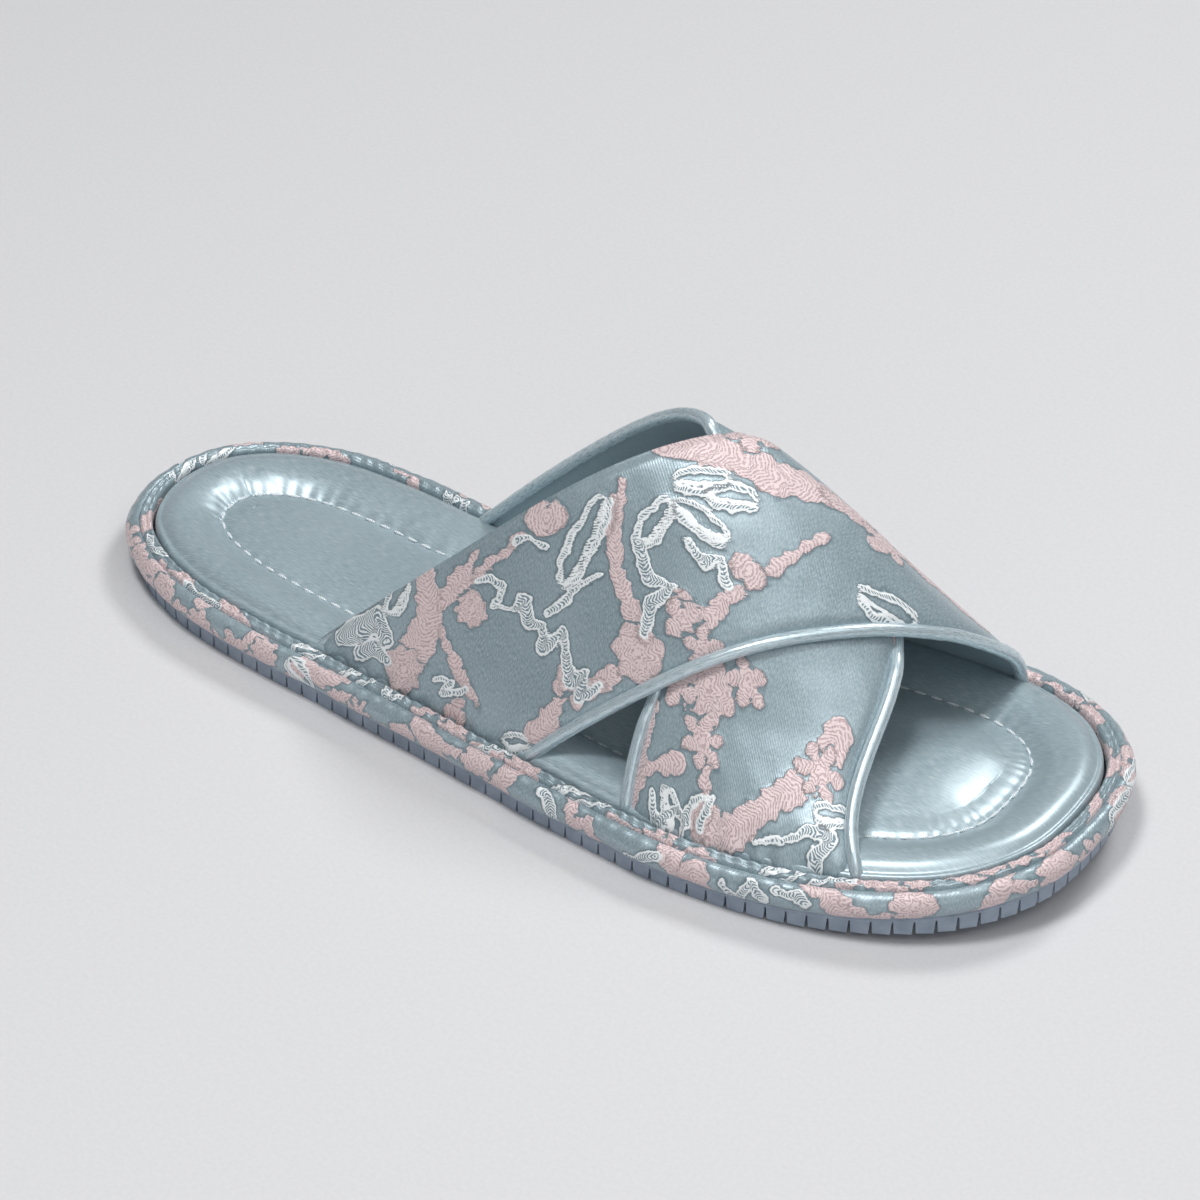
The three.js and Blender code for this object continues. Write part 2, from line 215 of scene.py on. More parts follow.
def gridFaces(rows, cols, rowLoop=False, colLoop=True, flip=False):
    faces = []
    for r in range(rows if rowLoop else rows - 1):
        for c in range(cols if colLoop else cols - 1):
            a, b = r * cols + c, r * cols + (c + 1) % cols
            d, e = (r + 1) % rows * cols + c, (r + 1) % rows * cols + (c + 1) % cols
            faces.append((a, d, e, b) if flip else (a, b, e, d))
    return faces


def finish(piece, nodes):
    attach(piece, "root")
    if nodes:
        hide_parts(*nodes)
    return piece


def linear(hexColour):
    parts = [int(hexColour[i:i + 2], 16) / 255 for i in (1, 3, 5)]
    return (*[p / 12.92 if p <= 0.04045 else ((p + 0.055) / 1.055) ** 2.4 for p in parts], 1)


def addNode(tree, kind, inputs=(), out=0, **settings):
    made = tree.nodes.new(kind)
    for key, value in settings.items():
        setattr(made, key, value)
    for key, value in inputs.items() if isinstance(inputs, dict) else enumerate(inputs):
        if isinstance(value, bpy.types.NodeSocket):
            tree.links.new(value, made.inputs[key])
        else:
            made.inputs[key].default_value = value
    return made.outputs if out is None else made.outputs[out]


def newMaterial(name, settings):
    material = bpy.data.materials.new(name)
    material.use_nodes = True
    tree = material.node_tree
    shader = next(n for n in tree.nodes if n.type == "BSDF_PRINCIPLED")
    for key, value in settings.items():
        shader.inputs[key].default_value = value
    return material, tree, shader


# Duchess satin: its long floats give a silvery lustre that breaks into fine streaks, partly from its gloss
# and partly as painted sheen in the lit colour; the shade colour is painted shade, laid in broad clouds
satins = {
    "satin": {"name": "Duchess satin, padded", "shade": "#93A8B0", "base": "#9FB3BB",
              "lit": "#C3CFD4", "roughness": 0.35, "metallic": 0.3, "crease": 0.25, "creaseScale": 0.08},
    "cord": {"name": "Satin bias binding over cord", "shade": "#AABFC7", "base": "#BED0D6",
             "lit": "#DCE6EA", "roughness": 0.28, "metallic": 0.42, "crease": 0.12, "creaseScale": 0.4},
    "lining": {"name": "Satin lining, plain", "shade": "#849CA6", "base": "#93A9B2",
               "lit": "#ABBDC4", "roughness": 0.42, "metallic": 0.15, "crease": 0.25, "creaseScale": 0.08},
}
floats = {"scale": (0.4, 5.2, 1), "height": 0.006}  # per mm along and across, and in mm


def makeSatin(s):
    material, tree, shader = newMaterial(s["name"], {
        "Metallic": s["metallic"], "Sheen Weight": 0.2, "Sheen Roughness": 0.4, "Specular IOR Level": 1.0})
    place = addNode(tree, "ShaderNodeUVMap", uv_map="UVMap")
    cloud = addNode(tree, "ShaderNodeTexNoise", {"Vector": place, "Scale": 0.03, "Detail": 3.0})
    # floats 2.5 mm long and 0.2 mm wide, a few times as coarse as the real threads so that they show
    drawn = addNode(tree, "ShaderNodeMapping", {0: place, 3: floats["scale"]})
    grain = addNode(tree, "ShaderNodeTexNoise", {"Vector": drawn, "Scale": 1.0, "Detail": 2.5})
    # painted light: broad clouds of painted shade, then painted sheen in the lit colour along the floats
    shadeCloudShare = addNode(tree, "ShaderNodeMapRange", (cloud, 0.35, 0.65, 0.0, 1.0))
    streakSheenShare = addNode(tree, "ShaderNodeMapRange", (grain, 0.42, 0.72, 0.0, 0.85))
    colour = addNode(tree, "ShaderNodeMix", {0: shadeCloudShare, 6: linear(s["shade"]), 7: linear(s["base"])},
                     out=2, data_type="RGBA")
    colour = addNode(tree, "ShaderNodeMix", {0: streakSheenShare, 6: colour, 7: linear(s["lit"])},
                     out=2, data_type="RGBA")
    tree.links.new(colour, shader.inputs["Base Color"])
    roughness = addNode(tree, "ShaderNodeMapRange",
                        (grain, 0.3, 0.7, s["roughness"] - 0.04, s["roughness"] + 0.08))
    tree.links.new(roughness, shader.inputs["Roughness"])
    folds = addNode(tree, "ShaderNodeTexNoise",
                    {"Vector": place, "Scale": s["creaseScale"], "Detail": 3.0, "Roughness": 0.55})
    height = addNode(tree, "ShaderNodeMath", (grain, floats["height"]), operation="MULTIPLY")
    height = addNode(tree, "ShaderNodeMath", (folds, s["crease"], height), operation="MULTIPLY_ADD")
    bump = addNode(tree, "ShaderNodeBump", {"Strength": 0.6, "Distance": metre, "Height": height})
    tree.links.new(bump, shader.inputs["Normal"])
    return material


# Jacquard brocade: a satin ground, with blossoms and twigs in raised ribbed threads.
# Pitches and heights are in mm. Ribs and twill are drawn two or three times as coarse as
# woven ones, so that they show.
# groundShade and groundLit are painted shade and painted sheen over the ground colour, and outline is a
# painted shade around each motif
brocade = {
    "groundShade": "#83979F", "ground": "#90A3AB", "groundLit": "#B4C2C8", "outline": "#5D727B",
    "rose": "#E2CFCF", "roseShade": "#BFA9AC", "silver": "#EEF2F3", "silverShade": "#788D97",
    "rosePitch": 1.0, "silverPitch": 0.8, "twillPitch": 0.9, "fray": 0.9, "fleck": 4.5, "waver": 7.0,
    "relief": 0.2, "roseRib": 0.12, "silverRib": 0.14, "twill": 0.01, "speck": 0.05,
    "metallic": 0.3, "groundRoughness": 0.38, "threadRoughness": 0.6,
}


def makeBrocade(name):
    b = brocade
    material, tree, shader = newMaterial(name, {
        "Metallic": b["metallic"], "Sheen Weight": 0.2, "Sheen Roughness": 0.45, "Specular IOR Level": 0.8})
    place = addNode(tree, "ShaderNodeUVMap", uv_map="UVMap")
    u, v, w = addNode(tree, "ShaderNodeSeparateXYZ", (place,), out=None)
    blossomMap, twigMap, ribRun = (
        addNode(tree, "ShaderNodeAttribute", out="Fac", attribute_name=key)
        for key in ("blossomMap", "twigMap", "ribRun"))
    # frayed outlines of the motifs
    fray = addNode(tree, "ShaderNodeTexNoise", {"Vector": place, "Scale": 0.9, "Detail": 2.0})
    blossom = addNode(tree, "ShaderNodeMath", (fray, b["fray"], blossomMap), operation="MULTIPLY_ADD")
    twig = addNode(tree, "ShaderNodeMath", (fray, b["fray"], twigMap), operation="MULTIPLY_ADD")
    onBlossom = addNode(tree, "ShaderNodeMapRange", (blossom, 0.33, 0.61, 0.0, 1.0),
                        interpolation_type="SMOOTHSTEP")
    onTwig = addNode(tree, "ShaderNodeMapRange", (twig, 0.35, 0.59, 0.0, 1.0),
                     interpolation_type="SMOOTHSTEP")
    onThread = addNode(tree, "ShaderNodeMath", (onBlossom, onTwig), operation="MAXIMUM")
    # ground: broad clouds of painted shade and short streaks of painted sheen, with a fine twill
    cloud = addNode(tree, "ShaderNodeTexNoise", {"Vector": place, "Scale": 0.035, "Detail": 2.0})
    shadeCloudShare = addNode(tree, "ShaderNodeMapRange", (cloud, 0.35, 0.65, 0.0, 1.0))
    slant = addNode(tree, "ShaderNodeMath", (u, v), operation="ADD")
    slant = addNode(tree, "ShaderNodeMath", (slant, math.tau / b["twillPitch"]), operation="MULTIPLY")
    twill = addNode(tree, "ShaderNodeMath", (slant,), operation="SINE")
    drawn = addNode(tree, "ShaderNodeMapping", {0: place, 3: (2.4, 0.7, 1)})
    speck = addNode(tree, "ShaderNodeTexNoise", {"Vector": drawn, "Scale": 1.5, "Detail": 3.0})
    # painted sheen: the lit ground colour along short streaks
    sheenSpeckShare = addNode(tree, "ShaderNodeMapRange", (speck, 0.4, 0.72, 0.0, 0.8))
    ground = addNode(tree, "ShaderNodeMix",
                     {0: shadeCloudShare, 6: linear(b["groundShade"]), 7: linear(b["ground"])},
                     out=2, data_type="RGBA")
    ground = addNode(tree, "ShaderNodeMix", {0: sheenSpeckShare, 6: ground, 7: linear(b["groundLit"])},
                     out=2, data_type="RGBA")
    # painted shade: a dark line where the threads of a motif dive under the ground
    blossomEdgeShade = addNode(tree, "ShaderNodeMapRange", (blossom, -0.3, 0.35, 0.0, 0.6))
    twigEdgeShade = addNode(tree, "ShaderNodeMapRange", (twig, -0.25, 0.35, 0.0, 0.75))
    edgeShadeShare = addNode(tree, "ShaderNodeMath", (blossomEdgeShade, twigEdgeShade), operation="MAXIMUM")
    ground = addNode(tree, "ShaderNodeMix", {0: edgeShadeShare, 6: ground, 7: linear(b["outline"])},
                     out=2, data_type="RGBA")
    # ribs follow each motif, a little unsteady
    waver = addNode(tree, "ShaderNodeTexNoise", {"Vector": place, "Scale": 0.45, "Detail": 2.0})
    waver = addNode(tree, "ShaderNodeMath", (waver, b["waver"]), operation="MULTIPLY")
    roseTurn = addNode(tree, "ShaderNodeMath", (ribRun, math.tau / b["rosePitch"], waver),
                       operation="MULTIPLY_ADD")
    roseRib = addNode(tree, "ShaderNodeMath", (roseTurn,), operation="SINE")
    silverTurn = addNode(tree, "ShaderNodeMath", (ribRun, math.tau / b["silverPitch"], waver),
                         operation="MULTIPLY_ADD")
    silverRib = addNode(tree, "ShaderNodeMath", (silverTurn,), operation="SINE")
    fleck = addNode(tree, "ShaderNodeTexNoise", {"Vector": place, "Scale": 1.6, "Detail": 1.0})
    roseRib = addNode(tree, "ShaderNodeMath", (fleck, b["fleck"], roseRib), operation="MULTIPLY_ADD")
    roseShare = addNode(tree, "ShaderNodeMapRange", (roseRib, 1.15, 2.45, 0.0, 1.0),
                        interpolation_type="SMOOTHSTEP")
    rose = addNode(tree, "ShaderNodeMix", {0: roseShare, 6: linear(b["roseShade"]), 7: linear(b["rose"])},
                   out=2, data_type="RGBA")
    # twigs: two bright outlines around a core that is ribbed across
    edgeShare = addNode(tree, "ShaderNodeMapRange", (twigMap, 0.62, 0.4, 0.0, 1.0))
    silverShare = addNode(tree, "ShaderNodeMapRange", (silverRib, -0.4, 0.4, 0.0, 0.95),
                          interpolation_type="SMOOTHSTEP")
    silverShare = addNode(tree, "ShaderNodeMath", (silverShare, edgeShare), operation="MAXIMUM")
    silver = addNode(tree, "ShaderNodeMix",
                     {0: silverShare, 6: linear(b["silverShade"]), 7: linear(b["silver"])},
                     out=2, data_type="RGBA")
    colour = addNode(tree, "ShaderNodeMix", {0: onBlossom, 6: ground, 7: rose}, out=2, data_type="RGBA")
    colour = addNode(tree, "ShaderNodeMix", {0: onTwig, 6: colour, 7: silver}, out=2, data_type="RGBA")
    tree.links.new(colour, shader.inputs["Base Color"])
    roughness = addNode(tree, "ShaderNodeMapRange",
                        (onThread, 0.0, 1.0, b["groundRoughness"], b["threadRoughness"]))
    tree.links.new(roughness, shader.inputs["Roughness"])
    # the height of motifs, ribs and ground, in mm
    height = addNode(tree, "ShaderNodeMath", (onThread, b["relief"]), operation="MULTIPLY")
    raised = addNode(tree, "ShaderNodeMath", (roseShare, onBlossom), operation="MULTIPLY")
    height = addNode(tree, "ShaderNodeMath", (raised, b["roseRib"], height), operation="MULTIPLY_ADD")
    raised = addNode(tree, "ShaderNodeMath", (silverShare, onTwig), operation="MULTIPLY")
    height = addNode(tree, "ShaderNodeMath", (raised, b["silverRib"], height), operation="MULTIPLY_ADD")
    height = addNode(tree, "ShaderNodeMath", (twill, b["twill"], height), operation="MULTIPLY_ADD")
    height = addNode(tree, "ShaderNodeMath", (speck, b["speck"], height), operation="MULTIPLY_ADD")
    bump = addNode(tree, "ShaderNodeBump", {"Strength": 0.7, "Distance": metre, "Height": height})
    tree.links.new(bump, shader.inputs["Normal"])
    return material


# Foamed rubber: matt, faintly mottled, with a fine moulded grain
def makeRubber(name):
    material, tree, shader = newMaterial(name, {"Specular IOR Level": 0.4})
    place = addNode(tree, "ShaderNodeTexCoord", out="Object")
    mottle = addNode(tree, "ShaderNodeTexNoise", {"Vector": place, "Scale": 250.0, "Detail": 3.0})
    grain = addNode(tree, "ShaderNodeTexNoise", {"Vector": place, "Scale": 2200.0, "Detail": 2.0})
    share = addNode(tree, "ShaderNodeMapRange", (mottle, 0.3, 0.7, 0.0, 1.0))
    colour = addNode(tree, "ShaderNodeMix", {0: share, 6: linear("#8C99A9"), 7: linear("#A2AEBD")},
                     out=2, data_type="RGBA")
    tree.links.new(colour, shader.inputs["Base Color"])
    roughness = addNode(tree, "ShaderNodeMapRange", (mottle, 0.3, 0.7, 0.52, 0.66))
    tree.links.new(roughness, shader.inputs["Roughness"])
    bump = addNode(tree, "ShaderNodeBump", {"Strength": 0.3, "Distance": metre * 0.2, "Height": grain})
    tree.links.new(bump, shader.inputs["Normal"])
    return material


# Spun polyester thread: dull, with a twist that shows as slanting ribs
def makeThread(name, shade, base):
    material, tree, shader = newMaterial(name, {
        "Roughness": 0.5, "Sheen Weight": 0.3, "Sheen Roughness": 0.5})
    place = addNode(tree, "ShaderNodeTexCoord", out="Object")
    twist = addNode(tree, "ShaderNodeTexWave", {"Vector": place, "Scale": 900.0, "Distortion": 0.6},
                    out=1, bands_direction="DIAGONAL")
    colour = addNode(tree, "ShaderNodeMix", {0: twist, 6: linear(shade), 7: linear(base)},
                     out=2, data_type="RGBA")
    tree.links.new(colour, shader.inputs["Base Color"])
    bump = addNode(tree, "ShaderNodeBump", {"Strength": 0.4, "Distance": metre * 0.2, "Height": twist})
    tree.links.new(bump, shader.inputs["Normal"])
    return material


finishes = {key: makeSatin(sizes) for key, sizes in satins.items()}
finishes |= {
    "brocade": makeBrocade("Blossom jacquard brocade, woven"),
    "rubber": makeRubber("Foamed rubber, moulded"),
    "paleThread": makeThread("Polyester thread, pale", "#C2CFD4", "#F2F6F7"),
    "blueThread": makeThread("Polyester thread, slate", "#5C737E", "#8399A3"),
}
print("materials made")

# Jacquard motifs, drawn in each cloth's own millimetres. Branches are points with
# widths, blossoms are a place with radius and petals, and leaves are hollow lens shapes.
topMotifs = {
    "branches": [
        ([(-32, -59), (-27, -67), (-27, -74), (-31, -83)], [5, 7, 8, 10]),
        ([(-24, -65), (-20, -60), (-12, -48), (-8, -43)], [3, 2.6, 2.2, 3]),
        ([(-24, -63), (-21, -56), (-18.5, -50)], [3.2, 3.6, 0.8]),
        ([(-23, -71), (-16, -78.5), (-8.5, -84.5)], [1.5, 3.6, 2]),
        ([(12.5, -73), (12, -79), (8, -84.5)], [3, 5, 5]),
        ([(11, -22), (11.6, -31), (17, -41), (22.5, -46.5), (28, -51)], [1.6, 5, 3.6, 4.6, 7]),
        ([(33, -38), (40, -39.5), (43, -31), (48, -21), (53.5, -7)], [3, 5, 3, 2.6, 2]),
        ([(16, -11), (24, -6.5), (32, -5), (40, -4), (48, 2)], [5, 9, 8, 8, 6]),
        ([(48, 2), (56, 5), (63, 9), (72, 13), (83, 19)], [5, 6, 5, 5, 4]),
        ([(22, 6), (32, 14), (44, 20), (58, 28), (70, 36)], [5, 6, 4, 5, 6]),
        ([(40, 34), (48, 44), (58, 52), (66, 60)], [6, 4, 5, 6]),
        ([(24, -62), (20, -67), (17, -72)], [5, 4, 3]),
    ],
    "blossoms": [
        (-3.5, -36.5, 5.6, 2), (-16, -63.5, 4.8, 9), (12.5, -69.5, 3.8, 3), (28, -54.5, 7, 7),
        (35, -42.5, 5, 4), (42, -45, 5.4, 5), (44, -24.5, 4.6, 2), (-14, -88, 3.6, 3), (62, 6, 6, 5),
        (30, 2, 6, 5), (52, 24, 6.4, 7), (36, 20, 5, 5), (72, 36, 5.5, 5), (60, 54, 6, 6),
        (-31, -84, 6, 8),
    ],
    "twigs": [
        ([(-9, -44.5), (-5.5, -42.5), (-2, -43)], [2.6, 1.4, 2.2]),
        ([(-17, -57.5), (-13, -54.5), (-9.5, -56), (-10.5, -60.5), (-5, -59.5)],
         [1, 2.4, 2.2, 1.6, 1.4]),
        ([(-5, -59.5), (-3, -56), (-0.5, -61.5), (3, -60), (5, -65), (8.5, -59), (11, -64)],
         [1.6, 3.4, 3, 2.2, 3.6, 2, 3]),
        ([(11, -64), (14, -69), (17, -65), (17.5, -71), (21.5, -66)], [3, 3.6, 1.8, 3.4, 2]),
        ([(4, -57), (8, -49.5), (13.5, -43)], [2.2, 2, 1.2]),
        ([(19.5, -33), (24, -38.5), (31, -37), (27, -43), (28, -50)], [3, 3.6, 1.6, 4, 2.4]),
        ([(-37, -79), (-41, -75), (-45, -79), (-50, -83)], [4, 6, 7, 5]),
        ([(-36, -84), (-40, -82), (-44, -85)], [3, 5, 4]),
        ([(30, -27), (35, -29), (38, -26), (41, -30)], [2, 3, 2, 2.6]),
        ([(-22, -83), (-17, -82), (-19, -86), (-13, -82)], [1.4, 2, 1.6, 2]),
    ],
    "leaves": [
        ((5, -50), (8.8, -26), 6.4), ((19.5, -34), (23, -20), 5.2), ((23, -21), (38.5, -22), 4.6),
        ((21, -17.5), (33, -10), 4.4), ((29, -16), (40, -10.5), 4.6), ((64, -11), (77, -5), 5.4),
        ((-38, -73), (-36, -63.5), 5.4), ((54, 12), (66, 22), 5), ((40, 26), (50, 38), 5.4),
        ((0, -90), (8, -87), 4),
    ],
}
underMotifs = {
    "branches": [
        ([(33.5, -64), (34, -72), (36, -80), (36, -88)], [5, 4.6, 5, 5]),
        ([(36, -79), (40.5, -74), (45, -69.5)], [2.4, 3, 4.6]),
        ([(42, -57), (48.5, -62), (53, -69)], [5, 6, 2.6]),
        ([(57, -76), (63, -71.5), (69, -59), (75, -48), (75, -37)], [8, 6.4, 5.4, 8, 6]),
        ([(69, -5), (76, -9), (80, -14)], [3.4, 3, 2]),
        ([(-30, 58), (-20, 50), (-8, 44), (4, 38)], [5, 7, 4, 5]),
        ([(-10, 30), (0, 24), (8, 14), (20, 8)], [6, 5, 4, 5]),
    ],
    "blossoms": [
        (45, -51, 8, 7), (53, -44, 5.6, 5), (38, -55, 6, 5), (48.5, -62, 6, 6), (56, -75.5, 5.4, 8),
        (75, -47, 6.4, 6),
        (-16, 48, 7, 7), (2, 36, 6, 5), (6, 16, 6.4, 6), (-36, 62, 5, 5),
    ],
    "twigs": [
        ([(41, -80), (45, -84.5), (47.5, -79), (51.5, -79), (51, -74.5), (55.5, -69.5), (55, -77)],
         [2, 3.4, 2, 3, 1.8, 1.4, 2.4]),
        ([(68, -70), (73, -66), (78, -60), (81, -57), (84.5, -56.5), (82, -63), (87, -67)],
         [1.4, 1.6, 2, 3.6, 3, 3.4, 3]),
        ([(-24, 60), (-18, 58), (-12, 52), (-6, 52)], [2, 3, 2, 3]),
    ],
    "leaves": [((44, -76), (52, -84), 4.4), ((78, -55), (86, -50), 4.4), ((-30, 44), (-20, 38), 5),
               ((-4, 18), (2, 8), 5)],
}


def motifFields(motifs, trueU, trueV):
    # how far inside a motif each point lies, in mm, and how far along its ribs
    deepest = 1.6
    # a hand-drawn unsteadiness bends every outline and rib
    u = trueU + 0.9 * softNoise(trueU, trueV, 8, 71) + 0.5 * softNoise(trueU, trueV, 3.1, 72)
    v = trueV + 0.9 * softNoise(trueU, trueV, 8, 73) + 0.5 * softNoise(trueU, trueV, 3.1, 74)
    blossom = np.full(u.shape, -9.0)
    twig = np.full(u.shape, -9.0)
    run = v * 0.8 + np.abs(((u / 5) % 2) - 1) * 2

    def distanceAlong(points, widths):
        best, bestRun = np.full(u.shape, -99.0), np.zeros(u.shape)
        gone = 0.0
        for (x0, y0), (x1, y1), w0, w1 in zip(points[:-1], points[1:], widths[:-1], widths[1:]):
            length = math.hypot(x1 - x0, y1 - y0)
            share = np.clip(((u - x0) * (x1 - x0) + (v - y0) * (y1 - y0)) / length ** 2, 0, 1)
            away = np.hypot(u - x0 - share * (x1 - x0), v - y0 - share * (y1 - y0))
            inside = (w0 + (w1 - w0) * share) / 2 - away
            inside = np.minimum(inside, deepest)
            bestRun = np.where(inside > best, gone + share * length + away * 0.9, bestRun)
            best = np.maximum(best, inside)
            gone += length
        return best, bestRun

    def keep(field, value, way):
        nonlocal run
        run = np.where((value > field) & (value > -0.8), way, run)
        return np.maximum(field, value)

    for points, widths in motifs["branches"]:
        inside, way = distanceAlong(points, widths)
        inside = inside + 0.35 * np.sin(way * 1.5)  # a knotty edge
        blossom = keep(blossom, inside, way)
    for x, y, radius, petals in motifs["blossoms"]:
        away, angle = np.hypot(u - x, v - y), np.arctan2(v - y, u - x) + x
        depth = 0.16 if petals < 7 else 0.07
        rim = radius * (1 - depth + depth * np.cos(petals * angle))
        # a slit between petals, and a small eye in the middle
        fromSlit = away * np.abs(np.sin((petals * angle + math.pi) / 2)) * 2 / petals
        slit = np.where(away > (0.42 if petals < 7 else 0.8) * radius, fromSlit - 0.42, 9.0)
        inside = np.minimum(np.minimum(rim - away, slit), deepest)
        blossom = np.maximum(blossom - 2 * smoothStep(-0.6, 0.2, rim - away + 0.4), inside)
        run = np.where(rim > away, away + 0.25 * np.cos(petals * angle) * away, run)
    for points, widths in motifs["twigs"]:
        inside, way = distanceAlong(points, widths)
        twig = keep(twig, inside, way)
    for (x0, y0), (x1, y1), width in motifs["leaves"]:
        length = math.hypot(x1 - x0, y1 - y0)
        share = ((u - x0) * (x1 - x0) + (v - y0) * (y1 - y0)) / length ** 2
        aside = ((v - y0) * (x1 - x0) - (u - x0) * (y1 - y0)) / length
        halfWidth = width / 2 * np.clip(4 * share * (1 - share), 0, 1) ** 0.6
        onEdge = 0.85 - np.abs(np.abs(aside) - halfWidth)
        onVein = 0.5 - np.abs(aside + 0.2 * width * np.sin(share * 3))
        inside = np.where((share > 0.01) & (share < 0.99), np.maximum(onEdge, onVein), -2.0)
        twig = keep(twig, inside, share * length + np.abs(aside))
    return {"blossomMap": blossom, "twigMap": twig, "ribRun": run}


def scatteredMotifs(lengthways, across, gap, seed):
    rng = np.random.default_rng(seed)
    found = {"branches": [], "blossoms": [], "twigs": [], "leaves": []}
    place = 4.0
    while place < lengthways - 9:
        y, kind = rng.uniform(0.25, 0.75) * across, rng.integers(0, 6)
        reach = rng.uniform(0.7, 1.4)
        if kind <= 1:
            found["blossoms"].append((place, y, rng.uniform(3.4, 5.6), int(rng.integers(5, 9))))
            found["branches"].append(([(place, y), (place + 6 * reach, across * rng.uniform(0.1, 0.9)),
                                       (place + 11 * reach, y)], [4.4, 2.4, 3.4]))
        elif kind <= 3:
            low, high = (0, across) if rng.random() < 0.5 else (across, 0)
            bends = [(place - 4 * reach, low), (place, y), (place + 5 * reach, across * rng.random()),
                     (place + 8 * reach, high)]
            found["branches"].append((bends, rng.uniform(2.4, 6.5, 4)))
        elif kind == 4:
            bends = [(place + (k * 3 - 4) * reach, across * rng.uniform(0.15, 0.85)) for k in range(4)]
            found["twigs"].append((bends, rng.uniform(1.6, 3.4, 4)))
        else:
            tip = (place + 6 * reach, across * 0.8)
            found["leaves"].append(((place - 5 * reach, across * 0.25), tip, 4.6))
        place += rng.uniform(0.5, 1.6) * gap
    return found


# Straps: brocade over thin foam, lined with satin, held in the shape of a foot
strapSizes = {"wall": 2.6, "top": 1.3, "under": -1.3, "turnedEdge": 1.5, "reliefHeight": 0.16,
              "rows": 250, "skin": 100, "lining": 28, "feet": (2.0, 4.0)}


def lapFade(side):
    return 1 - np.abs(side) ** 8


def strapSides(layer, rows):
    # places across the last that lie evenly along the strap's middle line
    side = np.linspace(-1, 1, 600)
    edges = strapEdges[layer]
    line = instep((edgeX(edges["rear"], side) + edgeX(edges["front"], side)) / 2, side)
    run = np.concatenate([[0], np.cumsum(np.linalg.norm(np.diff(line, axis=0), axis=1))])
    return np.interp(np.linspace(0, run[-1], rows), run, side)


def ridgeRun(x, side):
    # length over the last from the ridge, negative towards the outer rim, at one place along
    ridge, outerCount = last["ridgeSide"], 90
    table = np.concatenate([np.linspace(-1, ridge, outerCount), np.linspace(ridge, 1, 70)[1:]])
    stations = np.linspace(-62, 108, 86)
    grid = instep(stations[:, None] + 0 * table, table + 0 * stations[:, None])
    steps = np.linalg.norm(np.diff(grid, axis=1), axis=2)
    run = np.concatenate([np.zeros((len(stations), 1)), np.cumsum(steps, axis=1)], axis=1)
    run -= run[:, outerCount - 1:outerCount]
    at = np.clip((x - stations[0]) / (stations[1] - stations[0]), 0, len(stations) - 1.001)
    low = at.astype(int)
    share = at - low
    place = np.interp(side, table, np.arange(len(table)))
    first = np.clip(place.astype(int), 0, len(table) - 2)
    part = place - first

    def pick(r):
        return run[r, first] * (1 - part) + run[r, first + 1] * part

    return pick(low) * (1 - share) + pick(low + 1) * share


def makeStrap(name, layer, motifs):
    sides = strapSides(layer, strapSizes["rows"])
    edges = strapEdges[layer]
    rear, front = edgeX(edges["rear"], sides), edgeX(edges["front"], sides)
    if layer == "top":
        rear = rear - strapSizes["turnedEdge"]  # turned over its cord, which stays underneath
    skins = []
    shares = np.linspace(0, 1, strapSizes["skin"])
    back = np.linspace(1, 0, strapSizes["lining"])
    for shareRow, sign in ((shares, 1), (back, -1)):
        x = rear[:, None] + (front - rear)[:, None] * shareRow
        side = sides[:, None] + 0 * x
        toEdge = np.minimum(shareRow, 1 - shareRow) * (front - rear)[:, None] * 0.75
        u, v = x, ridgeRun(x, side)
        if sign > 0:
            fields = motifFields(motifs, u, v)
            rise = strapSizes["wall"] / 2 - 1.5 * np.exp(-(toEdge / 1.7) ** 2)
            woven = np.maximum(fields["blossomMap"], fields["twigMap"])
            rise += strapSizes["reliefHeight"] * smoothStep(-0.2, 0.3, woven)
            rise += 0.35 * softNoise(u, v, 34, 5) + 0.12 * softNoise(u, v, 9, 6)
            nearRim = np.exp(-(1 - np.abs(side)) / 0.06)  # small pulls where the strap enters the rim seam
            rise += 0.3 * nearRim * np.sin(u * 0.9 + softNoise(u, v, 20, 8) * 5)
        else:
            fields = {key: np.full(x.shape, -9.0) for key in ("blossomMap", "twigMap", "ribRun")}
            rise = -strapSizes["wall"] / 2 + 0.3 + 0.8 * np.exp(-(toEdge / 1.6) ** 2)
        raised = strapSizes[layer] * lapFade(side) + rise
        points = instep(x, side) + instepNormal(x, side) * raised[..., None]
        skins.append((points, u, v, fields))
    points = np.concatenate([s[0] for s in skins], axis=1)
    u, v = (np.concatenate([s[k] for s in skins], axis=1) for k in (1, 2))
    fields = {key: np.concatenate([s[3][key] for s in skins], axis=1) for key in skins[0][3]}

    def withFeet(rows, down=0):
        # the feet go straight down into the rim seam
        first = [rows[0] - np.multiply(down, d) for d in strapSizes["feet"][::-1]]
        final = [rows[-1] - np.multiply(down, d) for d in strapSizes["feet"]]
        return np.concatenate([np.array(first), rows, np.array(final)])

    points = withFeet(points, (0, 0, 1))
    u, v = withFeet(u), withFeet(v)
    fields = {key: withFeet(value) for key, value in fields.items()}
    rowCount, loop = points.shape[:2]
    faces = gridFaces(rowCount, loop, flip=True)
    slots = [0 if (i % loop) < strapSizes["skin"] - 1 else 1 for i in range(len(faces))]
    faces += [list(range(loop)), list(range((rowCount - 1) * loop, rowCount * loop))[::-1]]
    slots += [1, 1]
    piece = makeMesh(name, points.reshape(-1, 3), faces, np.stack([u, v], axis=-1).reshape(-1, 2),
                     {key: value.ravel() for key, value in fields.items()}, slots)
    piece.data.materials.append(finishes["brocade"])
    piece.data.materials.append(finishes["lining"])
    return finish(piece, ["upper"])


topStrap = makeStrap("topStrap", "top", topMotifs)
underStrap = makeStrap("underStrap", "under", underMotifs)
print("straps laid over the last")


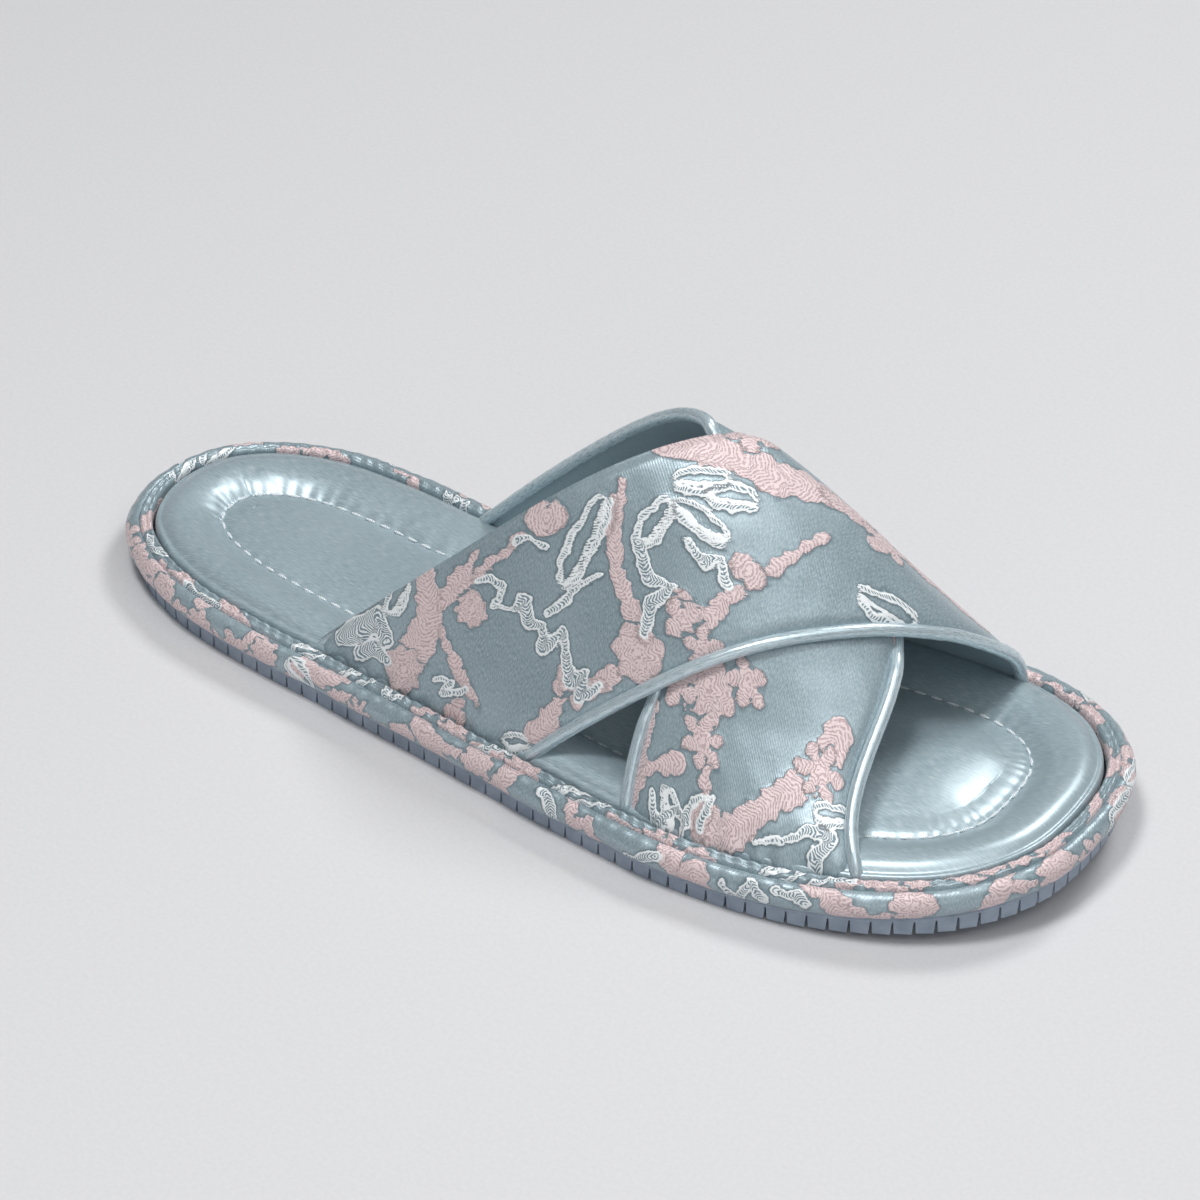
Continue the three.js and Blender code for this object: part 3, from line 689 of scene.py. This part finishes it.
# Piping: a cord in a bias-cut satin sleeve along each strap edge, diving into the rim seam
pipingSizes = {"radius": 1.6, "tuckedRadius": 0.9, "drops": (3.6, 2.4, 1.2), "along": 230, "around": 18,
               "top": 1.75, "under": -0.75, "lapped": -2.4, "tucked": -0.5}  # heights over the last


def sweep(path, radius, around):
    ahead = np.gradient(path, axis=0)
    ahead /= np.linalg.norm(ahead, axis=1)[:, None]
    side = np.cross(ahead[0], (0, 1, 0.2))
    rows = []
    for point, way, r in zip(path, ahead, radius):
        side = side - way * np.dot(side, way)
        side /= np.linalg.norm(side)
        other = np.cross(way, side)
        angles = np.arange(around) / around * math.tau
        rows.append(point + r * (np.cos(angles)[:, None] * side + np.sin(angles)[:, None] * other))
    run = np.concatenate([[0], np.cumsum(np.linalg.norm(np.diff(path, axis=0), axis=1))])
    u = np.repeat(run, around)
    v = np.tile(np.arange(around) / around * math.tau * radius.mean(), len(path))
    faces = gridFaces(len(path), around)
    faces += [list(range(around))[::-1], list(range((len(path) - 1) * around, len(path) * around))]
    return np.concatenate(rows), faces, np.stack([u, v], axis=1)


def pipingPath(layer, end):
    # the height of the cord's middle over the last, lower where the top strap lies over it
    sides = np.interp(np.linspace(0, 1, 500), np.linspace(0, 1, 300), strapSides(layer, 300))
    x = edgeX(strapEdges[layer][end], sides)
    if layer == "top":
        raised = np.full(sides.shape, pipingSizes["top" if end == "front" else "tucked"])
    else:
        rear, front = (edgeX(strapEdges["top"][e], sides) for e in ("rear", "front"))
        clear = np.maximum(rear - x, x - front)
        low, high = pipingSizes["lapped"], pipingSizes["under"]
        raised = low + (high - low) * smoothStep(1.5, 11, clear)
    line = instep(x, sides) + instepNormal(x, sides) * (raised * lapFade(sides))[:, None]
    drops = np.array(pipingSizes["drops"])[:, None] * (0, 0, 1)
    line = np.concatenate([line[0] - drops, line, line[-1] - drops[::-1]])
    return evenly(line, pipingSizes["along"], closed=False)[0]


for layer in ("top", "under"):
    for end in ("rear", "front"):
        path = pipingPath(layer, end)
        run = np.linspace(0, 1, len(path)) * 170
        tucked = layer == "top" and end == "rear"
        radius = pipingSizes["tuckedRadius" if tucked else "radius"]
        radius = radius + 0.05 * softNoise(run, 0 * run, 7, 3) + 0.03 * softNoise(run, 0 * run, 2.6, 4)
        points, faces, uvs = sweep(path, radius, pipingSizes["around"])
        cord = makeMesh(f"{layer}{end.capitalize()}Piping", points, faces, uvs)
        cord.data.materials.append(finishes["cord"])
        finish(cord, [f"piping_{layer}_{end}"])
print("piping run along the strap edges")

# Side wall: brocade wrapped over soft foam, gathered a little at the groove seam
wrap = {"around": 1200, "foot": 5.1, "height": 7.1, "footOutset": 5.2, "bulge": 2.2,
        "pucker": 0.3, "puckerPitch": 4.2, "patchGap": 11.5, "coreOutset": 1.2, "coreSpan": (0.15, 5.2)}
# From the foot up: share of the height, and share of the bulge
wallRows = [(-0.02, -0.9), (0.0, -0.25), (0.03, 0.18), (0.12, 0.58), (0.26, 0.88), (0.46, 1.0),
            (0.66, 0.92), (0.82, 0.58), (0.93, 0.16), (0.97, -0.3), (0.9, -0.66)]


def makeWrap():
    profile = smoothPath([(r * wrap["height"], b * wrap["bulge"]) for r, b in wallRows], False, 3)
    seam = np.concatenate([[0], np.cumsum(np.linalg.norm(np.diff(profile, axis=0), axis=1))])
    count = wrap["around"]
    u = np.arange(count) / count * outlineLength
    base, outward = outline(count)
    rows, us, vs = [], [], []
    for (rise, bulge), v, near in zip(profile, seam, seam[-1] - seam):
        wave = np.sin(u / wrap["puckerPitch"] * math.tau + 1.5 * softNoise(u, 0 * u, 25, 21))
        fold = wrap["pucker"] * math.exp(-near / 2.4) * wave
        slack = 0.4 * softNoise(u, 0 * u + v * 1.5, 26, 22) + 0.2 * softNoise(u, 0 * u + v, 8, 23)
        slack += 0.1 * softNoise(u, 0 * u + v * 0.6, 3.2, 24) * math.exp(-near / 4)
        level = math.sin(math.pi * min(1, max(0, v / seam[-1])))
        flat = base + outward * (wrap["footOutset"] + bulge + fold * 0.6 + slack * level)[:, None]
        rows.append(np.column_stack([flat, wrap["foot"] + rise + fold * 0.25 + lift(flat[:, 0])]))
        us.append(u)
        vs.append(0 * u + v)
    for rise in wrap["coreSpan"][::-1]:  # the hidden side, against the foam
        flat = base + outward * wrap["coreOutset"]
        rows.append(np.column_stack([flat, wrap["foot"] + rise + lift(flat[:, 0])]))
        us.append(u)
        vs.append(0 * u + seam[-1] + 3)
    points, u2, v2 = np.concatenate(rows), np.concatenate(us), np.concatenate(vs)
    fields = motifFields(scatteredMotifs(outlineLength, seam[-1], wrap["patchGap"], 11), u2, v2)
    faces = gridFaces(len(rows), count, rowLoop=True, flip=True)
    piece = makeMesh("platformWrap", points, faces, np.stack([u2, v2], axis=1), fields)
    piece.data.materials.append(finishes["brocade"])
    return finish(piece, ["platform_wrap"])


platformWrap = makeWrap()

# Folded band around the footbed, sewn down on its outer edge
band = {"around": 1300, "foot": 8.4, "top": 12.9, "inner": 0.75, "width": 3.1, "pucker": 0.2,
        "pitch": 3.4, "patchGap": 14, "groove": (4.0, 6.35),
        "stitchPitch": 4.2, "stitchLength": 3.4, "stitchRadius": 0.38}
bandRows = [(0, 0), (0, 0.45), (0.04, 0.8), (0.15, 0.97), (0.3, 1.0), (0.42, 0.93), (0.5, 0.88),
            (0.6, 0.93), (0.76, 0.98), (0.92, 0.88), (1.0, 0.62), (1, 0)]


def makeBand():
    tall = band["top"] - band["foot"]
    profile = smoothPath([(a * band["width"], r * tall) for a, r in bandRows], False, 2)
    count = band["around"]
    u = np.arange(count) / count * outlineLength
    base, outward = outline(count)
    rows, us, vs = [], [], []
    run = np.concatenate([[0], np.cumsum(np.linalg.norm(np.diff(profile, axis=0), axis=1))])
    for (across, rise), v in zip(profile, run):
        onTop = smoothStep(0.4, 0.9, rise / tall)
        turn = u / band["pitch"] * math.tau + across * 0.9 + softNoise(u, 0 * u, 12, 30)
        slack = 0.2 * softNoise(u, 0 * u, 17, 31) + 0.16 * softNoise(u, 0 * u + v, 2.6, 32)
        fold = onTop * (band["pucker"] * np.sin(turn) + slack)
        flat = base + outward * (band["inner"] + across + 0 * u)[:, None]
        rows.append(np.column_stack([flat, band["foot"] + rise + fold * 0.8 + lift(flat[:, 0])]))
        us.append(u)
        vs.append(0 * u + v)
    points, u2, v2 = np.concatenate(rows), np.concatenate(us), np.concatenate(vs)
    fields = motifFields(scatteredMotifs(outlineLength, run[-1], band["patchGap"], 12), u2, v2)
    faces = gridFaces(len(rows), count, rowLoop=True)
    piece = makeMesh("rimBand", points, faces, np.stack([u2, v2], axis=1), fields)
    piece.data.materials.append(finishes["brocade"])
    return finish(piece, ["rim_band"])


rimBand = makeBand()
print("side wall wrapped, rim band folded")

# Insole: foam under satin, quilted down along one seam around the middle panel
insole = {"around": 480, "across": 34, "foot": 8.3, "edge": 3.4, "outset": 0.1, "seamInset": 16.5,
          "stitchPitch": 4.4, "stitchLength": 3.1, "stitchRadius": 0.36,
          "pressure": 4.0, "swell": 1.9, "quickSwell": 0.9, "pucker": 0.34, "dip": 0.3,
          "crown": (0.2, 3.8), "shoulder": 8.0}
# Share of the inset, and the height in edge heights, from the rim to the panel
insoleRows = [(0, 0), (0, 0.55), (0.006, 0.94), (0.026, 1.2), (0.056, 1.27), (0.086, 1.2),
              (0.112, 1.27), (0.16, 1.5), (0.22, 1.7), (0.3, 1.86), (0.4, 1.93), (0.5, 1.91),
              (0.6, 1.82), (0.7, 1.66), (0.79, 1.42), (0.87, 1.18),
              (0.94, 0.96), (1.0, 0.84),
              (1.06, 1.0), (1.14, 1.15), (1.24, 1.26), (1.36, 1.32)]


def padMesh():
    count, across = insole["around"], insole["across"]
    halfCount = count // 2
    outset, foot = insole["outset"], insole["foot"]
    rows = [ring(outset - share * insole["seamInset"], foot + rise * insole["edge"], count)
            for share, rise in insoleRows]
    inner = rows[-1]
    held = np.concatenate([np.full(count, float(share in (0, 1.0))) for share, rise in insoleRows])
    points = np.concatenate(rows)
    faces = gridFaces(len(rows), count)
    top = (len(rows) - 1) * count
    ladder, extra = {}, []  # cross lines over the panel, from its inner to its outer side
    for i in range(1, halfCount):
        a, b = inner[i], inner[count - i]
        ids = [top + i]
        for k in range(1, across):
            ids.append(len(points) + len(extra))
            point = a + (b - a) * k / across
            fromSeam = np.linalg.norm(inner[:, :2] - point[:2], axis=1).min()
            flat, full = insole["crown"]
            crown = flat + (full - flat) * smoothStep(10, 60, point[0])
            extra.append(point + (0, 0, crown * (1 - math.exp(-fromSeam / insole["shoulder"]))))
        ladder[i] = ids + [top + count - i]
    for i in range(1, halfCount - 1):
        for k in range(across):
            faces.append((ladder[i][k], ladder[i + 1][k], ladder[i + 1][k + 1], ladder[i][k + 1]))
    for k in range(across):
        faces.append((top, ladder[1][k], ladder[1][k + 1]))
        faces.append((top + halfCount, ladder[halfCount - 1][k + 1], ladder[halfCount - 1][k]))
    # the flat underside, as a strip of quads
    faces += [(i, count - i, count - i - 1, i + 1) for i in range(1, halfCount - 1)]
    faces += [(0, count - 1, 1), (halfCount, halfCount - 1, halfCount + 1)]
    return np.concatenate([points, np.array(extra)]), faces, np.concatenate([held, np.zeros(len(extra))])


def swellPad(piece, held):
    # blows the cover up from inside while its edge and its seam are held down
    before = readPoints(piece.data)
    group = piece.vertex_groups.new(name="held")
    group.add([int(i) for i in np.nonzero(held)[0]], 1.0, "REPLACE")
    cloth = piece.modifiers.new("cover", "CLOTH")
    cloth.settings.use_pressure = True
    cloth.settings.uniform_pressure_force = insole["pressure"]
    cloth.settings.effector_weights.gravity = 0
    cloth.settings.vertex_group_mass = "held"
    cloth.settings.quality = 6
    cloth.settings.mass = 0.2
    cloth.settings.tension_stiffness = cloth.settings.compression_stiffness = 12
    cloth.point_cache.frame_start, cloth.point_cache.frame_end = 1, 20
    for frameNumber in range(1, 21):
        bpy.context.scene.frame_set(frameNumber)
    ready = piece.evaluated_get(bpy.context.evaluated_depsgraph_get())
    moved = readPoints(ready.data) - before
    piece.modifiers.remove(cloth)
    piece.vertex_groups.clear()
    bpy.context.scene.frame_set(1)
    length = np.linalg.norm(moved, axis=1)
    print("pad cover moved", round(float(length.max() * 1000), 2), "mm at most, mean",
          round(float(length.mean() * 1000), 2))
    cap = insole["swell"] * metre
    moved *= (cap * np.tanh(length / cap) / np.maximum(length, 1e-9))[:, None]
    piece.data.vertices.foreach_set("co", (before + moved).ravel())


def quilt(places):
    # draws the cover down along the quilting seam, most at each stitch
    x, y = places[:, 0], places[:, 1]
    # where along the seam and how far from it each point lies, positive outside
    seam = ring(insole["outset"] - insole["seamInset"], 0, 2400)[:, :2]
    tree = KDTree(len(seam))
    for i, point in enumerate(seam):
        tree.insert((*point, 0), i)
    tree.balance()
    near = [tree.find((*point, 0)) for point in places[:, :2]]
    index = np.array([n[1] for n in near])
    away = np.array([n[2] for n in near])
    ahead = np.roll(seam, -1, axis=0) - seam
    outwards = np.stack([-ahead[:, 1], ahead[:, 0]], axis=1)
    away *= np.where(((places[:, :2] - seam[index]) * outwards[index]).sum(axis=1) > 0, 1, -1)
    seamLength = np.linalg.norm(ahead, axis=1).sum()
    stitches = round(seamLength / insole["stitchPitch"])
    phase = index / len(seam) * stitches * math.tau
    onTop = places[:, 2] - lift(places[:, 0]) > insole["foot"] + 0.5
    reach = np.where(away > 0, 2.4, 1.8)
    uneven = 0.75 + 0.25 * softNoise(index / len(seam) * seamLength, 0 * away, 30, 41)
    pull = insole["pucker"] * np.exp(-np.abs(away) / reach) * (0.5 + 0.5 * np.cos(phase)) * uneven
    wander = 2 * softNoise(x, y, 40, 42)
    fan = np.exp(-((np.abs(away) - 4) / 3.5) ** 2) * np.cos(phase * 0.5 + wander)
    fan *= np.where(away > 0, 0.035, 0.015)
    ditch = insole["dip"] * np.exp(-(away / 0.7) ** 2)
    slack = 0.22 * softNoise(x, y, 48, 43) + 0.06 * softNoise(x, y, 14, 44)
    places[:, 2] += np.where(onTop, slack * np.clip(np.abs(away) / 6, 0, 1) - pull - fan - ditch, 0)
    return stitches


def makeInsole():
    points, faces, held = padMesh()
    rough = makeMesh("padBlank", points, faces)
    swellPad(rough, held)
    smooth = rough.modifiers.new("smooth", "SUBSURF")
    smooth.levels = smooth.render_levels = 1
    fine = bpy.data.meshes.new_from_object(rough.evaluated_get(bpy.context.evaluated_depsgraph_get()))
    bpy.data.objects.remove(rough)
    fine.name = "paddedInsole"
    places = readPoints(fine) / metre
    places[:, 1] -= sideShift
    stitches = quilt(places)
    corners = np.empty(len(fine.loops), dtype=np.int32)
    fine.loops.foreach_get("vertex_index", corners)
    for layer in list(fine.uv_layers):
        fine.uv_layers.remove(layer)
    fine.uv_layers.new(name="UVMap").data.foreach_set("uv", places[corners, :2].ravel())
    placed = places * metre
    placed[:, 1] += sideShift * metre
    fine.vertices.foreach_set("co", placed.ravel())
    fine.update()
    piece = bpy.data.objects.new("paddedInsole", fine)
    bpy.context.scene.collection.objects.link(piece)
    fine.materials.clear()
    fine.materials.append(finishes["satin"])
    finish(piece, ["insole"])
    return piece, stitches


paddedInsole, stitchCount = makeInsole()
print("insole padded and quilted with", stitchCount, "stitches")

# Outsole: a rubber sheet with blocks along its edge and small studs beneath
sole = {"around": 900, "thickness": 4.8, "tread": 1.1, "outset": 4.9, "blockPitch": 4.8,
        "blockWidth": 4.55, "blockDepth": 3.0, "blockHeight": 3.7,
        "studRadius": 2.1, "studHeight": 2.2, "studPitch": 4.6}


def makeSheet():
    count = sole["around"]
    rim, top = sole["outset"], sole["thickness"]
    profile = ((2.6, sole["tread"]), (3.6, 3.3), (rim - 0.15, 3.45), (rim, 3.75), (rim, top - 0.2),
               (rim - 0.25, top))
    rows = [ring(o, h, count) for o, h in profile]
    points = np.concatenate(rows)
    faces = gridFaces(len(rows), count)
    faces += [list(range(count))[::-1], list(range((len(rows) - 1) * count, len(rows) * count))]
    piece = makeMesh("outsoleSheet", points, faces)
    piece.data.materials.append(finishes["rubber"])
    return finish(piece, ["outsole"])


outsoleSheet = makeSheet()


def newTree(name, sizes):
    tree = bpy.data.node_groups.new(name, "GeometryNodeTree")
    tree.interface.new_socket("Geometry", in_out="INPUT", socket_type="NodeSocketGeometry")
    for key, value in sizes.items():
        made = tree.interface.new_socket(key, in_out="INPUT", socket_type="NodeSocketFloat")
        made.default_value = value * metre
    tree.interface.new_socket("Geometry", in_out="OUTPUT", socket_type="NodeSocketGeometry")
    return tree, tree.nodes.new("NodeGroupInput").outputs


def closeTree(tree, placed, material):
    real = addNode(tree, "GeometryNodeRealizeInstances", (placed,))
    painted = addNode(tree, "GeometryNodeSetMaterial", {"Geometry": real, "Material": material})
    tree.links.new(painted, tree.nodes.new("NodeGroupOutput").inputs["Geometry"])
    return tree


def grow(name, points, closed, tree, sizes):
    # runs the tree along a path or over loose points, and keeps the result as a plain mesh
    placed = np.asarray(points, float) * metre
    placed[:, 1] += sideShift * metre
    data = bpy.data.meshes.new(name)
    count = len(placed)
    data.from_pydata(placed.tolist(), [(i, (i + 1) % count) for i in range(count)] if closed else [], [])
    carrier = bpy.data.objects.new(name + "Path", data)
    bpy.context.scene.collection.objects.link(carrier)
    modifier = carrier.modifiers.new("grow", "NODES")
    modifier.node_group = tree
    for item in tree.interface.items_tree:
        if item.in_out == "INPUT" and item.name in sizes:
            modifier[item.identifier] = sizes[item.name] * metre
    made = bpy.data.meshes.new_from_object(carrier.evaluated_get(bpy.context.evaluated_depsgraph_get()))
    carrier.modifiers.remove(modifier)
    bpy.data.objects.remove(carrier)
    piece = bpy.data.objects.new(name, made)
    bpy.context.scene.collection.objects.link(piece)
    return finish(piece, [])


# One stitch is a short fat float, laid along the seam and sunk at both ends
def stitchTree(name, material):
    tree, given = newTree(name, {"Pitch": 4.4, "Length": 3, "Radius": 0.3})
    curve = addNode(tree, "GeometryNodeMeshToCurve", (given["Geometry"],))
    spaced = addNode(tree, "GeometryNodeResampleCurve", {"Curve": curve, "Length": given["Pitch"]},
                     mode="LENGTH")
    ball = addNode(tree, "GeometryNodeMeshUVSphere", {"Segments": 8, "Rings": 6, "Radius": 1.0})
    half = addNode(tree, "ShaderNodeMath", (given["Length"], 0.5), operation="MULTIPLY")
    size = addNode(tree, "ShaderNodeCombineXYZ", (given["Radius"], given["Radius"], half))
    tangent = addNode(tree, "GeometryNodeInputTangent")
    turn = addNode(tree, "FunctionNodeAlignRotationToVector", {"Vector": tangent}, axis="Z")
    placed = addNode(tree, "GeometryNodeInstanceOnPoints", {
        "Points": spaced, "Instance": ball, "Rotation": turn, "Scale": size})
    return closeTree(tree, placed, material)


# One block is a tapered rubber lug that leaves a narrow notch, wider at the floor
def blockTree(name, material):
    tree, given = newTree(name, {"Pitch": 4.8, "Width": 4.4, "Depth": 3, "Height": 3.6})
    curve = addNode(tree, "GeometryNodeMeshToCurve", (given["Geometry"],))
    spaced = addNode(tree, "GeometryNodeResampleCurve", {"Curve": curve, "Length": given["Pitch"]},
                     mode="LENGTH")
    cube = addNode(tree, "GeometryNodeMeshCube",
                   {"Size": (1, 1, 1), "Vertices X": 2, "Vertices Y": 2, "Vertices Z": 3})
    place = addNode(tree, "GeometryNodeInputPosition")
    x, y, z = addNode(tree, "ShaderNodeSeparateXYZ", (place,), out=None)
    taper = addNode(tree, "ShaderNodeMapRange", (z, -0.5, 0.5, 0.87, 1.0))
    narrow = addNode(tree, "ShaderNodeMath", (x, taper), operation="MULTIPLY")
    shaped = addNode(tree, "ShaderNodeCombineXYZ", (narrow, y, z))
    block = addNode(tree, "GeometryNodeSetPosition", {"Geometry": cube, "Position": shaped})
    size = addNode(tree, "ShaderNodeCombineXYZ", (given["Width"], given["Depth"], given["Height"]))
    tangent = addNode(tree, "GeometryNodeInputTangent")
    turn = addNode(tree, "FunctionNodeAlignRotationToVector", {"Vector": tangent},
                   axis="X", pivot_axis="Z")
    placed = addNode(tree, "GeometryNodeInstanceOnPoints", {
        "Points": spaced, "Instance": block, "Rotation": turn, "Scale": size})
    return closeTree(tree, placed, material)


# One stud is a low six-sided peg of the tread
def studTree(name, material):
    tree, given = newTree(name, {"Radius": 2.1, "Height": 2.2})
    stud = addNode(tree, "GeometryNodeMeshCylinder",
                   {"Vertices": 6, "Radius": given["Radius"], "Depth": given["Height"]})
    placed = addNode(tree, "GeometryNodeInstanceOnPoints",
                     {"Points": given["Geometry"], "Instance": stud})
    return closeTree(tree, placed, material)


seamPath = ring(insole["outset"] - insole["seamInset"], insole["foot"] + 0.86 * insole["edge"] - 0.02, 900)
grow("quiltingStitches", seamPath, True, stitchTree("Quilting stitch", finishes["paleThread"]),
     {"Pitch": insole["stitchPitch"], "Length": insole["stitchLength"], "Radius": insole["stitchRadius"]})
groovePath = ring(band["groove"][0], wrap["foot"] + band["groove"][1], 900)
grow("grooveStitches", groovePath, True, stitchTree("Seam stitch", finishes["blueThread"]),
     {"Pitch": band["stitchPitch"], "Length": band["stitchLength"], "Radius": band["stitchRadius"]})
blockPath = ring(sole["outset"] - 0.2 - sole["blockDepth"] / 2, sole["blockHeight"] / 2, 1200)
grow("edgeBlocks", blockPath, True, blockTree("Edge block", finishes["rubber"]),
     {"Pitch": sole["blockPitch"], "Width": sole["blockWidth"], "Depth": sole["blockDepth"],
      "Height": sole["blockHeight"]})


def studPlaces():
    rim = ring(0.6, 0, 400)
    found = []
    for row, x in enumerate(np.arange(-128, 130, sole["studPitch"])):
        inside = rim[np.abs(rim[:, 0] - x) < 3]
        if len(inside) < 2:
            continue
        low, high = inside[:, 1].min() + 0.6, inside[:, 1].max() - 0.6
        for y in np.arange(-60, 60, sole["studPitch"] * 1.15):
            y += sole["studPitch"] * 0.575 * (row % 2)
            if low < y < high:
                found.append((x, y, sole["tread"] + lift(x)))
    return np.array(found)


grow("treadStuds", studPlaces(), False, studTree("Tread stud", finishes["rubber"]),
     {"Radius": sole["studRadius"], "Height": sole["studHeight"]})
print("seams stitched, rubber sole moulded")

# Floor, light and camera
studio = {"floor": 6.0, "lens": 135, "camera": (0.4457, -0.7186, 0.6664),
          "up": (-0.3089, 0.4601, 0.8325), "target": (0.0, 0.0, 0.028),
          "lights": {  # azimuth, elevation, distance, width, height, watts
              "keyLight": (268, 74, 1.5, 0.3, 0.3, 11), "broadLight": (-28, 60, 1.5, 1.0, 0.8, 5),
              "backLight": (76, 54, 1.5, 0.4, 0.4, 9), "frontFill": (300, 20, 1.7, 1.2, 0.5, 3)},
          "world": 0.2}


def makeFloor():
    data = bpy.data.meshes.new("paleFloor")
    w = studio["floor"] / 2
    data.from_pydata([(-w, -w, 0), (w, -w, 0), (w, w, 0), (-w, w, 0)], [], [(0, 1, 2, 3)])
    floor = bpy.data.objects.new("paleFloor", data)
    bpy.context.scene.collection.objects.link(floor)
    # matt painted board: pale, with no gloss to compete with the satin
    material, tree, shader = newMaterial("Matt painted board", {
        "Roughness": 0.85, "Specular IOR Level": 0.15})
    place = addNode(tree, "ShaderNodeTexCoord", out="Object")
    fine = addNode(tree, "ShaderNodeTexNoise", {"Vector": place, "Scale": 900.0, "Detail": 2.0})
    share = addNode(tree, "ShaderNodeMapRange", (fine, 0.3, 0.7, 0.0, 1.0))
    colour = addNode(tree, "ShaderNodeMix", {0: share, 6: linear("#D0D0D2"), 7: linear("#D4D4D6")},
                     out=2, data_type="RGBA")
    tree.links.new(colour, shader.inputs["Base Color"])
    data.materials.append(material)


makeFloor()


def softBox(name, azimuth, elevation, distance, width, height, power):
    data = bpy.data.lights.new(name, "AREA")
    data.shape = "RECTANGLE"
    data.size, data.size_y = width, height
    data.energy = power
    lamp = bpy.data.objects.new(name, data)
    a, e = math.radians(azimuth), math.radians(elevation)
    place = Vector((math.cos(e) * math.cos(a), math.cos(e) * math.sin(a), math.sin(e))) * distance
    lamp.location = place
    lamp.rotation_euler = (-place).to_track_quat("-Z", "Y").to_euler()
    bpy.context.scene.collection.objects.link(lamp)


for name, values in studio["lights"].items():
    softBox(name, *values)
world = bpy.data.worlds.new("studio")
bpy.context.scene.world = world
world.use_nodes = True
world.node_tree.nodes["Background"].inputs[0].default_value = linear("#E6E8EB")
world.node_tree.nodes["Background"].inputs[1].default_value = studio["world"]
bpy.context.scene.view_settings.view_transform = "Standard"


def makeCamera():
    data = bpy.data.cameras.new("camera")
    data.lens = studio["lens"]
    data.sensor_width = 36
    data.clip_start = 0.05
    data.clip_end = 20
    seat = bpy.data.objects.new("camera", data)
    bpy.context.scene.collection.objects.link(seat)
    x, y, z = studio["camera"]
    place = Vector((x, y + sideShift * metre, z))
    ahead = (Vector(studio["target"]) - place).normalized()
    right = ahead.cross(Vector(studio["up"])).normalized()
    turn = Matrix((right, right.cross(ahead), -ahead)).transposed()
    seat.matrix_world = Matrix.Translation(place) @ turn.to_4x4()
    bpy.context.scene.camera = seat


makeCamera()
print("floor, lights and camera set")

bpy.context.view_layer.update()
